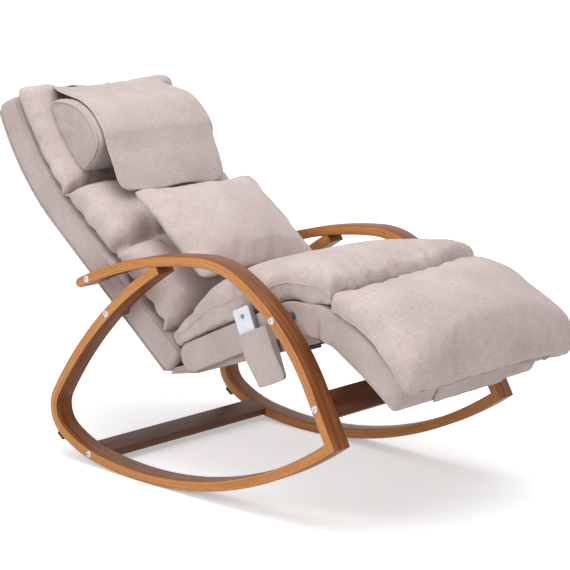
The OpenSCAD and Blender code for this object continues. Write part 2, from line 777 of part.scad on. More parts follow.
// The same ring on the right-hand side of a line that runs up the back
function mirrored_ring(s, base, half_w, h, k, low = 0.4) =
    let (r = pad_ring([s[0], s[1], s[2] + 180], base, half_w, h, k, low)) [for (j = [k - 1 : -1 : 0]) r[j]];

head_len = back_len + 20 - crease_s;
module head_pad() {
    n = 16;
    color(linen) loft([for (i = [0 : n])
        let (d = crease_s + touch + head_len * i / n, f = i / n, s = at(back_foot, back_runs, d),
             h = head_pad_t * end_round(d - crease_s, head_len + touch, 34))
        mirrored_ring(s, touch, panel_out + 3 - 7 * sin(180 * f), h, pad_k, 0.45)]);
}

// ---------- Massage carriage

plate_n = -30;
plate_t = 5;
plate_l = 120;
block_l = 30;
block_w = 28;
block_h = 32;

module at_carriage() {
    back_local() translate([carriage_s, 0, 0]) children();
}

module carriage_plate() {
    color(steel) at_carriage() translate([-plate_l / 2, -rod_gap / 2 - 16, plate_n - plate_t])
        cube([plate_l, rod_gap + 32, plate_t]);
}

// Bush blocks on the rods and the nut on the screw, screwed under the plate
module carriage_blocks() {
    color(black) at_carriage() {
        for (x = [-1, 1], y = [-1, 1]) difference() {
            translate([x * 44 - block_l / 2, y * rod_gap / 2 - block_w / 2, plate_n - plate_t - block_h])
                cube([block_l, block_w, block_h]);
            translate([-plate_l, y * rod_gap / 2, rod_n]) rotate([0, 90, 0])
                cylinder(d = rod_d + 2 * run_clear, h = plate_l * 2);
        }
        difference() {
            translate([-block_l / 2, -block_w / 2, plate_n - plate_t - block_h]) cube([block_l, block_w, block_h]);
            translate([-plate_l, 0, screw_n]) rotate([0, 90, 0])
                cylinder(d = screw_d + 2 * run_clear, h = plate_l * 2);
        }
    }
}

gear_l = 84;
gear_w = 176;
gear_h = 30;
shaft_d = 10;
module kneading_gearbox() {
    color("#3a3d42") at_carriage() difference() {
        translate([-gear_l / 2, -gear_w / 2, plate_n]) cube([gear_l, gear_w, gear_h]);
        for (y = [-1, 1]) translate([0, y * disc_gap / 2, plate_n + 4])
            cylinder(d = shaft_d + 2 * turn_clear, h = gear_h);
    }
}

module kneading_motor() {
    color("#4a4d52") at_carriage() translate([0, gear_w / 2, plate_n + 15])
        rotate([-90, 0, 0]) cylinder(d = 28, h = 34);
}

ball_r = 27;         // distance of the balls from the disc's axis
disc_t = 7;
disc_n = 1.5;
module kneading_disc(side) {
    at_carriage() translate([0, side * disc_gap / 2, 0]) {
        translate([0, 0, disc_n]) cylinder(d = disc_d, h = disc_t);
        translate([0, 0, plate_n + 4.5]) cylinder(d = shaft_d, h = disc_n - plate_n - 4.5);
    }
}
module massage_balls(side) {
    at_carriage() translate([0, side * disc_gap / 2, disc_n + disc_t]) for (a = [0, 180])
        rotate(a) translate([ball_r, 0, 0]) {
            translate([0, 0, ball_d / 2 + 4]) sphere(d = ball_d, $fn = 32);
            cylinder(d = ball_d * 0.5, h = 6);
        }
}
module left_kneading_disc() { color(pale) kneading_disc(1); }
module right_kneading_disc() { color(pale) kneading_disc(-1); }
module left_massage_balls() { color("#3b62a8") massage_balls(1); }
module right_massage_balls() { color("#3b62a8") massage_balls(-1); }

// ---------- Legrest

shell_wall = 8;
end_slant = 20;      // how far the casing's lower edge reaches past its upper edge
function legrest_far(d, n) = left(move(move(legrest_start, legrest_runs[0], 1),
    [0, d - run_length(legrest_runs[0])], 1), n);
function legrest_outline(first, last, up, down) =
    let (n = 10)
    concat([for (i = [0 : n]) legrest_at(first + (last - first) * i / n, up)],
           [legrest_far(last + end_slant * down / legrest_t, -down)],
           [for (i = [n - 2 : -1 : 0]) legrest_at(first + (last - first) * i / n, -down)]);

// Everything ahead of the bent plane through the hinge where seat and legrest meet
module ahead_of_hinge() {
    reach = legrest_len * 2;
    polygon([[hinge_face, hinge[1]], [hinge_face - 6, hinge[1] - 110], [hinge[0] + reach, hinge[1] - reach],
        [hinge[0] + reach, hinge[1] + 100], [hinge_face + 100 * tan(legrest_lift + 2), hinge[1] + 100]]);
}

module legrest_shell() {
    color(linen) difference() {
        slab(-panel_out, panel_out) intersection() {
            polygon(legrest_outline(0, legrest_len, 0, legrest_t));
            ahead_of_hinge();
        }
        slab(-panel_in, panel_in) polygon(legrest_outline(-40, legrest_len - shell_wall, through,
            legrest_t - shell_wall));
        both_sides() rod_y(hinge, 30, panel_in - through, panel_in + 4);
    }
}

leg_tube_n = 30;
leg_bar_w = 24;
leg_bar_h = 20;
eye_d = 20;          // round ends of the plates on the hinge pins
module legrest_frame() {
    straight = at(legrest_start, legrest_runs, 60);
    c = left(straight, -leg_tube_n);
    color(steel) difference() {
        union() {
            both_sides() translate([c[0], tube_in - bracket_t, c[1]]) rotate([0, -(straight[2] - 12), 0])
                translate([-10, 0, -12]) difference() {
                    cube([180, tube_w, 24]);
                    translate([-through, tube_wall, tube_wall])
                        cube([180 + 2 * through, tube_w - 2 * tube_wall, 24 - 2 * tube_wall]);
                }
            for (d = [10, 140]) translate([c[0], -tube_in + bracket_t, c[1]]) rotate([0, -(straight[2] - 12), 0])
                translate([d, 0, -12]) difference() {
                    cube([leg_bar_w, (tube_in - bracket_t) * 2, leg_bar_h]);
                    translate([tube_wall, -through, tube_wall])
                        cube([leg_bar_w - 2 * tube_wall, tube_in * 2, leg_bar_h - 2 * tube_wall]);
                }
            both_sides() slab(tube_out - bracket_t + touch / 2, tube_out - touch) hull() {
                translate(hinge) circle(d = eye_d);
                translate(left(at(legrest_start, legrest_runs, 100), -leg_tube_n - 8)) circle(d = 16);
                translate(left(at(legrest_start, legrest_runs, 66), -leg_tube_n - 2)) circle(d = 16);
            }
        }
        both_sides() rod_y(hinge, hinge_pin_d + 2 * run_clear, 0, frame_w);
    }
}

deck_t = 6;
module legrest_deck() {
    color("#b48a5c") slab(-panel_in + touch, panel_in - touch)
        polygon(legrest_outline(24, legrest_len - shell_wall - touch, -touch, deck_t));
}

calf_first = 12;
calf_lean = seat_pad_lean + legrest_lift + 1;   // lean of the calf pad's rear face over the hinge
calf_rear_back = 2.9;                           // how far that face passes behind the hinge
function calf_rear(s) =
    ((s[0] - hinge[0]) * cos(calf_lean) - (s[1] - hinge[1]) * sin(calf_lean) + calf_rear_back) / sin(calf_lean + s[2]);
// Calf pad: wider and rounder towards the feet, its rear face leaning so that it clears the seat pad when lifted
module calf_pad() {
    last = legrest_len + calf_overhang;
    n = 22;
    color(linen) loft([for (i = [0 : n])
        let (f = i / n, d = calf_first + (last - calf_first) * pow(f, 1.15),
             s = at(legrest_start, legrest_runs, min(d, legrest_len)),
             over = max(0, d - legrest_len), q = [s[0] + over * cos(s[2]), s[1] + over * sin(s[2]), s[2]],
             h = min(calf_rear(s), calf_pad_t * end_round(last - d, last * 2, 84)),
             w = panel_out + 4 + (calf_flare - 4) * min(1, f * 1.6))
        pad_ring(q, touch, w - (f > 0.85 ? (f - 0.85) * 50 : 0), h, pad_k)]);
}

flap_reach = 66;
end_flap_w = 260;
// Short flap that hangs over the middle of the legrest's end
module legrest_flap() {
    s = at(legrest_start, legrest_runs, legrest_len);
    color(linen_shade) translate([s[0], 0, s[1]]) rotate([0, -s[2] - atan(end_slant / legrest_t), 0])
        translate([touch, -end_flap_w / 2, -flap_reach - 4]) cube([cloth_t, end_flap_w, flap_reach]);
}

vib_s = 130;         // place of the vibrator down the legrest
module calf_vibrator() {
    s = at(legrest_start, legrest_runs, vib_s);
    c = left(s, -deck_t - vib_d / 2 - 4);
    foot = [for (i = [-3 : 3]) vib_s + (vib_d / 2 + 6) * i / 3];
    color(black) {
        translate([c[0], 0, c[1]]) rotate([0, -s[2], 0]) rotate([90, 0, 0])
            cylinder(d = vib_d, h = vib_l, center = true);
        slab(-vib_l / 4, vib_l / 4) polygon(concat([for (d = foot) legrest_at(d, -deck_t - touch)],
            [for (i = [6 : -1 : 0]) legrest_at(foot[i], -deck_t - 6)]));
    }
}

module hinge_pins() {
    color(bright) both_sides() {
        rod_y(hinge, hinge_pin_d, tube_out - bracket_t - 3, panel_in + 1);
        rod_y(hinge, hinge_pin_d + 5, tube_out - bracket_t - 6, tube_out - bracket_t - 3);
    }
}

// ---------- Cushions

pillow_s = 684;      // middle of the pillow, up the back line
pillow_sag = 42;     // how far the pillow's belly hangs down
headrest_centre = [back_foot[0] - back_run * cos(back_rise) + back_r * sin(back_rise),
    back_foot[1] + back_run * sin(back_rise) + back_r * cos(back_rise)];

// The pillow's side view, counted by an angle from its lower rear corner, as [distance up the back, height]
function pillow_point(t, grow, shrink) =
    let (u = -cos(t), v = sin(t))
    [pillow_s + (pillow_h / 2 * shrink + grow) * curve(u, 0.8) - pillow_sag * v,
     head_pad_t + touch + 0.3 + (t < 0 ? 0 : (pillow_t * shrink + grow) * pow(max(0, v), 0.72))];

module neck_pillow() {
    k = 20;
    n = 12;
    color(linen) loft([for (i = [0 : n])
        let (v = -1 + 2 * i / n, y = pillow_w / 2 * curve(v, 0.8),
             shrink = sqrt(max(0.45, 1 - 0.55 * pow(abs(v), 5))))
        [for (j = [k : -1 : 0])
            let (p = pillow_point(180 * j / k, 0, shrink), q = back_at(p[0], p[1])) [q[0], y, q[1]]]]);
}

drop_len = 104;
// Flap: over the pillow's front, then down onto the back pad
function flap_line(grow, wave) = concat(
    [for (t = [166 : -12 : 46]) let (p = pillow_point(t, grow + wave * (t < 100 ? 1 : 0), 1)) back_at(p[0], p[1])],
    [for (e = [0 : 3])
        let (p = pillow_point(34, grow + wave, 1), q = e / 3)
        back_at(p[0] - drop_len * q, p[1] - (p[1] - back_pad_t - 14 - grow) * q)]);

module pillow_flap() {
    n = 14;
    color(linen) sheet_loft([for (i = [0 : n])
        let (y = flap_w * (i / n - 0.5), wave = 2.5 * sin(360 * 2.5 * i / n) + 2.5,
             outer = flap_line(1.2 + cloth_t, wave), inner = flap_line(1.2, wave))
        [for (p = concat(outer, [for (j = [len(inner) - 1 : -1 : 0]) inner[j]])) [p[0], y, p[1]]]]);
}

throw_s = 241;       // middle of the throw cushion, up the back line
// Throw cushion: thick in the middle, drawn in between its four corners
module throw_cushion() {
    k = 24;
    n = 16;
    color(linen) back_local() translate([throw_s, 0, back_pad_t + throw_t / 2 + 1.4]) loft([for (i = [0 : n])
        let (v = -1 + 2 * i / n, x = throw_h / 2 * curve(v, 0.85),
             bulge = pow(max(0.004, 1 - pow(abs(v), 3)), 0.55), w = throw_w / 2 * (0.955 + 0.045 * v * v))
        [for (j = [0 : k - 1]) let (t = 360 * j / k)
            [x * (1 - 0.05 * (1 - pow(abs(curve(cos(t), 0.7)), 4))),
             w * curve(cos(t), 0.7), throw_t / 2 * bulge * curve(sin(t), 1.1) + 0.8 * sin(t)]]]);
}

// ---------- Remote and its pocket

remote_x = 206;      // rear edge of the remote along the seat line
remote_top = 60;     // how far the remote's upper end stands above the pocket's mouth
mouth_n = -35;       // height of the pocket's mouth under the seat line
pocket_wall = 2;
pocket_strap_w = 30;
strap_side = 4;      // distance of the strap from the pocket's front edge
remote_gap = 0.5;

// Local frame of the remote: X forward along the seat, Z up, Y out of the chair's right side
module remote_local() {
    seat_local() translate([remote_x, -panel_out - pocket_wall - 2 * remote_gap, mouth_n]) mirror([0, 1, 0])
        children();
}
module remote_block(w, l, t, r) {
    translate([0, 0, r]) cube([w, t, l - 2 * r]);
    translate([r, 0, 0]) cube([w - 2 * r, t, l]);
    for (x = [r, w - r], z = [r, l - r]) translate([x, 0, z]) rotate([-90, 0, 0]) cylinder(r = r, h = t);
}

face_t = 2;
corner_r = 3;
button_d = 9;
button_up = remote_top - 22;
module remote_shell() {
    color("#9aa0a8") remote_local() difference() {
        translate([0, 0, remote_top - remote_l]) remote_block(remote_w, remote_l, remote_t - face_t, corner_r);
        translate([4, 3, remote_top - remote_l + 4]) cube([remote_w - 8, remote_t, remote_l - 8]);
    }
}
module remote_faceplate() {
    color(pale) remote_local() difference() {
        translate([0, remote_t - face_t, remote_top - remote_l])
            remote_block(remote_w, remote_l, face_t, corner_r);
        translate([remote_w / 2, remote_t - face_t - through, button_up]) rotate([-90, 0, 0])
            cylinder(d = button_d + 2 * hole_clear, h = face_t + 2 * through);
    }
}
module remote_button() {
    color("#4b4b50") remote_local() translate([remote_w / 2, 0, button_up]) {
        translate([0, remote_t - face_t - 2.4, 0]) rotate([-90, 0, 0]) cylinder(d = button_d, h = 2.4 + face_t + button_travel + 0.1);
        translate([0, remote_t - face_t - 2.4, 0]) rotate([-90, 0, 0]) cylinder(d = button_d + 4, h = 1.2);
    }
}

// Fabric pocket with a strap that rises behind the arm to the seat panel
module remote_pocket() {
    depth = remote_t + 2 * remote_gap;
    low = remote_top - remote_l - remote_gap;
    color(linen) seat_local() translate([remote_x, -panel_out - touch, mouth_n]) mirror([0, 1, 0]) difference() {
        union() {
            translate([-pocket_wall - remote_gap, 0, -pocket_h]) cube([pocket_w, depth + 2 * pocket_wall, pocket_h]);
            translate([pocket_w - strap_side - pocket_strap_w, 0, -pocket_wall])
                cube([pocket_strap_w, pocket_wall, -mouth_n]);
        }
        translate([-remote_gap, pocket_wall, low]) cube([remote_w + 2 * remote_gap, depth, pocket_h]);
    }
}

left_arm();
right_arm();
left_rocker();
right_rocker();
front_crossbar();
rear_crossbar();
frame_bolts();
barrel_nuts();
spacers();
rocker_stops();
seat_frame();
seat_side_panels();
seat_tray();
seat_webbing();
seat_foam();
seat_pad();
corner_brackets();
weld_nuts();
control_box();
power_inlet();
power_switch();
seat_vibrator();
back_shell();
back_frame();
guide_rods();
rod_brackets();
lead_screw();
lift_motor();
back_pad();
head_pad();
carriage_plate();
carriage_blocks();
kneading_gearbox();
kneading_motor();
left_kneading_disc();
left_massage_balls();
right_kneading_disc();
right_massage_balls();
legrest_shell();
legrest_frame();
legrest_deck();
calf_pad();
legrest_flap();
calf_vibrator();
hinge_pins();
neck_pillow();
pillow_flap();
throw_cushion();
remote_shell();
remote_faceplate();
remote_button();
remote_pocket();
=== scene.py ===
import bpy
import bmesh
import math
import numpy as np
from mathutils import Matrix, Vector


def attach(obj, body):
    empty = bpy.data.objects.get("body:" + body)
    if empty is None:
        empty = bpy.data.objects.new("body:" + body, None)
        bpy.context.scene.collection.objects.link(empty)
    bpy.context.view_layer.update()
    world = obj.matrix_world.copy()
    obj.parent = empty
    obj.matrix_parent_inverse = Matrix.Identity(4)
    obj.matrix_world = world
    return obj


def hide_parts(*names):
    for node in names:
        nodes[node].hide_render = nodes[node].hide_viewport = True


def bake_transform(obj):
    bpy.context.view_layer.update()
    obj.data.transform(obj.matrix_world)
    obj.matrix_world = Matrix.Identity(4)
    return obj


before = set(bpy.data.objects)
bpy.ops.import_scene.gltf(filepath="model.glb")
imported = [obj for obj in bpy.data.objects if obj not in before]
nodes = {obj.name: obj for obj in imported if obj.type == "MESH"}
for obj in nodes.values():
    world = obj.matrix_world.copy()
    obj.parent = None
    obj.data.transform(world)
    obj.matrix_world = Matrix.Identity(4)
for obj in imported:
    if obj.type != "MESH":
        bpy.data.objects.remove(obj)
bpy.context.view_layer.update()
scene = bpy.context.scene
print("frame loaded", len(nodes))


# lines of the chair in its side view: a start (x, z, heading) and runs (bend, turn or length), in mm
def runLength(run):
    return run[1] if run[0] == 0 else run[0] * math.radians(abs(run[1]))


def move(state, run, share):
    x, z, heading = state
    turn = run[1] * share
    a = math.radians(heading)
    if run[0] == 0:
        return (x + turn * math.cos(a), z + turn * math.sin(a), heading)
    bend = run[0] if run[1] > 0 else -run[0]
    b = math.radians(heading + turn)
    return (x + bend * (math.sin(b) - math.sin(a)), z - bend * (math.cos(b) - math.cos(a)), heading + turn)


def pathAt(start, runs, d):
    state = start
    for i, run in enumerate(runs):
        length = runLength(run)
        if d <= length or i == len(runs) - 1:
            return move(state, run, d / length)
        state, d = move(state, run, 1), d - length


def leftOf(state, n):
    a = math.radians(state[2])
    return (state[0] - n * math.sin(a), state[1] + n * math.cos(a))


def total(runs):
    return sum(runLength(run) for run in runs)


chair = {
    "floorX": -113.5, "outer": 330.0, "thick": 25.0, "wide": 52.0,      # where it stands, and the bent boards
    "rockerBend": 1063.5, "frontRise": 35.5, "armLean": 118.6,
    "recline": 38.0, "backDown": 299.2, "backOut": 33.9, "seatLean": 24.5, "legLean": -14.0,
    "rocker": [(1063.5, -44.7), (342, -21.8), (70, -91.8), (1145, -29.8)],
    "arm": [(0, 136), (524, 34.8), (226, 29.3), (1160, 21.9)],
    "back": [(0, 528), (602, -31)],
    "seat": [(0, 347), (120, -24.5), (0, 79)],
    "leg": [(400, -24), (0, 105)],
}
tip = move((chair["floorX"], chair["thick"] / 2, 0), (chair["rockerBend"], chair["frontRise"]), 1)
rockerStart = (tip[0], tip[1], 180 + chair["frontRise"])
armStart = (tip[0], tip[1], chair["armLean"])
armEnd = total(chair["arm"])
boltA = pathAt(armStart, chair["arm"], armEnd - 31)
boltC = pathAt(armStart, chair["arm"], 314)
boltD = pathAt(armStart, chair["arm"], 91)
boltE = pathAt(rockerStart, chair["rocker"], chair["rockerBend"] * math.radians(chair["frontRise"]) + 192)
rise = math.radians(chair["recline"])
backFoot = (boltA[0] + chair["backDown"] * math.cos(rise) + chair["backOut"] * math.sin(rise),
            boltA[1] - chair["backDown"] * math.sin(rise) + chair["backOut"] * math.cos(rise),
            180 - chair["recline"])
seatStart = (backFoot[0] + 18, backFoot[1] + 28, chair["seatLean"])
backLen, seatLen, legLen = total(chair["back"]), total(chair["seat"]), total(chair["leg"])
knee = pathAt(seatStart, chair["seat"], seatLen)
legStart = (knee[0] + 3, knee[1] - 3, chair["legLean"])


def makeLine(start, runs, first, last, side):
    steps = np.arange(first, last + 1, 2.0)
    rows = np.array([pathAt(start, runs, d) for d in steps])
    return {"d": steps, "x": rows[:, 0], "z": rows[:, 1], "h": np.radians(rows[:, 2]), "side": side}


def onLine(line, d, y, n):
    # points at distance d along the line, y across and n out of it, in metres
    x, z, h = (np.interp(d, line["d"], line[key]) for key in ("x", "z", "h"))
    n = n * line["side"]
    return np.stack([x - n * np.sin(h), y + 0 * x, z + n * np.cos(h)], axis=-1) / 1000


backLine = makeLine(backFoot, chair["back"], -120, backLen + 160, -1)
seatLine = makeLine(seatStart, chair["seat"], -160, seatLen + 160, 1)
legLine = makeLine(legStart, chair["leg"], -120, legLen + 160, 1)


def ease(value, first, last):
    t = np.clip((value - first) / (last - first), 0, 1)
    return t * t * (3 - 2 * t)


def bump(value, middle, width):
    return np.exp(-((value - middle) / width) ** 2)


# finishes
def fromHex(text):
    # sRGB hex to linear light
    parts = [int(text[i:i + 2], 16) / 255 for i in (0, 2, 4)]
    return tuple(c / 12.92 if c <= 0.04045 else ((c + 0.055) / 1.055) ** 2.4 for c in parts) + (1.0,)


def addNode(tree, kind, settings=None, inputs=None, stops=(), out=0):
    # settings belong to the node, inputs are plain values or other nodes' outputs, stops are a ramp's places
    # and hexes, and out is the output given back, None for all of them
    node = tree.nodes.new(kind)
    for name, value in (settings or {}).items():
        setattr(node, name, value)
    for name, value in (inputs or {}).items():
        if isinstance(value, bpy.types.NodeSocket):
            tree.links.new(value, node.inputs[name])
        else:
            node.inputs[name].default_value = value
    for i, (place, colour) in enumerate(stops):
        element = node.color_ramp.elements[i] if i < 2 else node.color_ramp.elements.new(place)
        element.position = place
        element.color = fromHex(colour)
    return node.outputs if out is None else node.outputs[out]


def newFinish(name, own):
    # own: numbers set straight on the shader
    material = bpy.data.materials.new(name)
    material.use_nodes = True
    tree = material.node_tree
    shader = tree.nodes["Principled BSDF"]
    for socket, value in own.items():
        shader.inputs[socket].default_value = value
    return material, tree, shader


def coverWith(tree, shader, colour, height, strength, depth):
    # gives the shader its colour and its relief, depth in mm
    relief = addNode(tree, "ShaderNodeBump",
                     inputs={"Height": height, "Strength": strength, "Distance": depth / 1000})
    tree.links.new(colour, shader.inputs["Base Color"])
    tree.links.new(relief, shader.inputs["Normal"])


def wovenCloth(name, pale, middle, deep, slub=1.9, loose=False):
    # polyester linen-look upholstery: matt, melange of pale and deep yarns with long thick slubs both ways.
    # The real yarns are 0.6 mm apart, too fine to show, so slubs are drawn slub mm thick and the weave 1.7 mm
    # apart
    material, tree, shader = newFinish(name, {"Roughness": 0.93, "Sheen Weight": 0.15, "Sheen Roughness": 0.5,
                                              "Specular IOR Level": 0.18, "IOR": 1.45})
    spot = addNode(tree, "ShaderNodeTexCoord", out="Object")
    cloth = spot if loose else addNode(tree, "ShaderNodeUVMap", {"uv_map": "weave"})
    fine, long = 1000 / slub, 1000 / 22
    yarns, threads = [], []
    for direction, scale in (("X", (fine, long)), ("Y", (long, fine))):
        turned = addNode(tree, "ShaderNodeMapping",
                         inputs={"Vector": cloth, "Scale": (*scale, fine if loose else 1)})
        yarns.append(addNode(tree, "ShaderNodeTexNoise", inputs={
            "Vector": turned, "Scale": 1.0, "Detail": 3.0, "Roughness": 0.62}))
        threads.append(addNode(
            tree, "ShaderNodeTexWave", {"wave_type": "BANDS", "bands_direction": direction},
            {"Vector": cloth, "Scale": 185.0, "Distortion": 0.7}, out="Fac"))
    slubs = addNode(tree, "ShaderNodeMath", {"operation": "ADD"}, {0: yarns[0], 1: yarns[1]})
    slubs = addNode(tree, "ShaderNodeMath", {"operation": "MULTIPLY"}, {0: slubs, 1: 0.5})
    tint = addNode(tree, "ShaderNodeValToRGB", inputs={"Fac": slubs},
                   stops=((0.34, deep), (0.5, middle), (0.66, pale)))
    patch = addNode(tree, "ShaderNodeTexNoise", inputs={"Vector": spot, "Scale": 9.0, "Detail": 3.0})
    patch = addNode(tree, "ShaderNodeValToRGB", inputs={"Fac": patch},
                    stops=((0.3, "EFECEA"), (0.7, "FFFFFF")))
    mixed = addNode(tree, "ShaderNodeMix", {"data_type": "RGBA", "blend_type": "MULTIPLY"},
                    {0: 1.0, 6: tint, 7: patch}, out=2)
    weave = addNode(tree, "ShaderNodeMath", {"operation": "MULTIPLY"}, {0: threads[0], 1: threads[1]})
    height = addNode(tree, "ShaderNodeMath", {"operation": "ADD"}, {0: weave, 1: slubs})
    coverWith(tree, shader, mixed, height, 0.5, 0.9)
    return material


def bentLaminate(name, sides, faces):
    # beech veneers pressed round a form, stained honey, satin lacquer: ply lines show on the sides, which
    # stay paler, and long grain with short dark flecks on the broad faces. The faces are drawn much darker
    # than the sides: part of that is their own tone, part is painted shade for faces turned away from the
    # lamps
    material, tree, shader = newFinish(name, {"Roughness": 0.5, "Coat Weight": 0.12, "Coat Roughness": 0.3,
                                              "IOR": 1.5, "Coat IOR": 1.5, "Specular IOR Level": 0.3})
    along = addNode(tree, "ShaderNodeAttribute", {"attribute_name": "along"}, out="Fac")
    section = addNode(tree, "ShaderNodeAttribute", {"attribute_name": "section"}, out="Vector")
    side = addNode(tree, "ShaderNodeAttribute", {"attribute_name": "edge"}, out="Fac")
    across = addNode(tree, "ShaderNodeSeparateXYZ", inputs={0: section}, out=None)
    place = addNode(tree, "ShaderNodeCombineXYZ", inputs={0: along, 1: across[0], 2: across[1]})
    streaks, tints = [], []
    # plies 1.8 mm thick, grain streaks 9 mm by 160 mm, flecks 1.2 mm by 12 mm
    flecks = ((0.34, "C9B4A4"), (0.42, "FFFFFF"))
    for scale, detail, rough, stops in (((2.4, 1000 / 1.8, 3), 2.0, 0.58, sides),
                                        ((1000 / 160, 1000 / 9, 1000 / 7), 5.0, 0.58, faces),
                                        ((1000 / 12, 1000 / 1.2, 1000 / 1.2), 1.0, 0.5, flecks)):
        turned = addNode(tree, "ShaderNodeMapping", inputs={"Vector": place, "Scale": scale})
        streaks.append(addNode(tree, "ShaderNodeTexNoise", inputs={
            "Vector": turned, "Scale": 1.0, "Detail": detail, "Roughness": rough}))
        tints.append(addNode(tree, "ShaderNodeValToRGB", inputs={"Fac": streaks[-1]}, stops=stops))
    base = addNode(tree, "ShaderNodeMix", {"data_type": "RGBA"}, {0: side, 6: tints[1], 7: tints[0]}, out=2)
    mixed = addNode(tree, "ShaderNodeMix", {"data_type": "RGBA", "blend_type": "MULTIPLY"},
                    {0: 0.7, 6: base, 7: tints[2]}, out=2)
    coverWith(tree, shader, mixed, streaks[1], 0.15, 0.5)
    return material


def grainFinish(name, pale, deep, roughness, metallic, grain, stretch=(1, 1, 1), relief=0.1):
    # grain is the size of its mottling and relief its depth, both in mm
    material, tree, shader = newFinish(name, {"Roughness": roughness, "Metallic": metallic})
    spot = addNode(tree, "ShaderNodeTexCoord", out="Object")
    turned = addNode(tree, "ShaderNodeMapping", inputs={"Vector": spot, "Scale": stretch})
    mottle = addNode(tree, "ShaderNodeTexNoise",
                     inputs={"Vector": turned, "Scale": 1000 / grain, "Detail": 3.0})
    tint = addNode(tree, "ShaderNodeValToRGB", inputs={"Fac": mottle}, stops=((0.35, deep), (0.65, pale)))
    worn = addNode(tree, "ShaderNodeMapRange",
                   inputs={"Value": mottle, "To Min": roughness * 0.88, "To Max": roughness * 1.12})
    tree.links.new(worn, shader.inputs["Roughness"])
    coverWith(tree, shader, tint, mottle, 0.35, relief)
    return material


linen = wovenCloth("upholsteryLinen", "D8CAC6", "CBBCB8", "B3A29E", 1.5)
# the same cloth stretched over board, so flatter and greyer
linenCasing = wovenCloth("casingLinen", "D0C2BF", "C4B5B2", "AE9F9C", 1.4)
looseLinen = wovenCloth("undersideLinen", "C3B5B1", "B3A4A0", "9D8E8A", 1.9, True)
# coarse twill, seen where the flap folds back
lining = wovenCloth("brownTwillLining", "6B4A3A", "583B2E", "442C22", 1.4)
# the second list of stops, for the broad faces, holds painted shade as well as the wood's own tone
beech = bentLaminate("honeyBeechLaminate", ((0.36, "A2632F"), (0.5, "BE7C40"), (0.63, "D09353")),
                     ((0.34, "63340F"), (0.52, "7D461B"), (0.7, "965B2B")))
# darker stain on the cross boards; their broad faces' stops also hold painted shade
darkBeech = bentLaminate("walnutStainedBeech", ((0.36, "5A3319"), (0.5, "6B4021"), (0.63, "7A4C2A")),
                         ((0.34, "45200B"), (0.52, "582D12"), (0.7, "6C3C1D")))
# zinc plated, turned steel: bright, slightly blurred reflections
zincSteel = grainFinish("zincPlatedSteel", "D0D0D3", "AEAEB2", 0.26, 1.0, 3.5, relief=0.03)
# powder coat on steel tube: dark grey with a fine orange peel
powderCoat = grainFinish("greyPowderCoat", "55585D", "484B50", 0.52, 0.0, 2.5, relief=0.12)
# enamelled motor cans: near black, half gloss
motorEnamel = grainFinish("motorEnamel", "3D3F43", "2F3134", 0.4, 0.0, 3.0, relief=0.06)
# sand-cast aluminium: light grey, rough and dull
castAluminium = grainFinish("castAluminium", "A9AAAD", "8E8F93", 0.52, 0.9, 2.2, relief=0.35)
# moulded EPDM: matt black
rubber = grainFinish("mouldedRubber", "282829", "1C1C1D", 0.82, 0.0, 2.0, relief=0.2)
# injection-moulded ABS with a spark texture
blackAbs = grainFinish("blackAbs", "2F2F31", "262628", 0.48, 0.0, 1.0, relief=0.08)
greyAbs = grainFinish("greyAbs", "9597A0", "888A93", 0.46, 0.0, 1.1, relief=0.06)
# polished ABS face: cool white, clear reflections
whiteAbs = grainFinish("polishedWhiteAbs", "E6E9F0", "DDE1EA", 0.2, 0.0, 25.0, relief=0.01)
blueAbs = grainFinish("blueAbs", "3D5A9C", "33508F", 0.3, 0.0, 12.0, relief=0.02)
# birch plywood: pale, long soft grain
birchPly = grainFinish("birchPlywood", "C9A67C", "AE8A5F", 0.7, 0.0, 30.0, (0.25, 5, 1), 0.15)
# woven polypropylene belt: black ribs across its width
beltWeb = grainFinish("polypropyleneBelt", "333335", "1D1D1F", 0.85, 0.0, 3.0, (6, 0.4, 1), 0.5)
# spun polyester thread: a shade deeper than the cloth, faint lustre
thread = grainFinish("polyesterThread", "B5A5A0", "A39590", 0.6, 0.0, 1.2, relief=0.05)
# open-cell polyurethane foam: cream, pitted
foam = grainFinish("seatFoam", "DDCC9C", "CBB986", 0.95, 0.0, 2.0, relief=0.9)
print("finishes made", len(bpy.data.materials))

# the solids shown as they are, by finish; the others stay under cloth
shown = {
    powderCoat: "spacers seat_frame corner_brackets back_frame rod_brackets carriage_plate legrest_frame",
    zincSteel: "barrel_nuts weld_nuts guide_rods lead_screw hinge_pins",
    motorEnamel: "seat_vibrator lift_motor kneading_motor calf_vibrator",
    blackAbs: "power_inlet power_switch carriage_blocks",
    whiteAbs: "left_kneading_disc right_kneading_disc",
    blueAbs: "left_massage_balls right_massage_balls",
    rubber: "rocker_stops", beltWeb: "seat_webbing", foam: "seat_foam", greyAbs: "control_box",
    castAluminium: "kneading_gearbox", birchPly: "legrest_deck",
}
kept = {name: finish for finish, names in shown.items() for name in names.split()}
for name, node in nodes.items():
    node.data.materials.clear()
    node.data.materials.append(kept.get(name, looseLinen))


# meshes
def addObject(name, data):
    thing = bpy.data.objects.new(name, data)
    scene.collection.objects.link(thing)
    return thing


def newObject(name, points, faces=(), material=None, edges=()):
    mesh = bpy.data.meshes.new(name)
    mesh.from_pydata([tuple(p) for p in points], edges, faces)
    if material:
        mesh.materials.append(material)
    mesh.update()
    return addObject(name, mesh)


def settle(piece, body, slot, *stands):
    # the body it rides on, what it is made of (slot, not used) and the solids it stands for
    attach(piece, body)
    if stands:
        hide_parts(*stands)


def smooth(piece, angle=None):
    mesh = piece.data
    mesh.polygons.foreach_set("use_smooth", [True] * len(mesh.polygons))
    if angle:
        work = bmesh.new()
        work.from_mesh(mesh)
        for edge in work.edges:
            edge.smooth = len(edge.link_faces) == 2 and edge.calc_face_angle(0) < math.radians(angle)
        work.to_mesh(mesh)
        work.free()


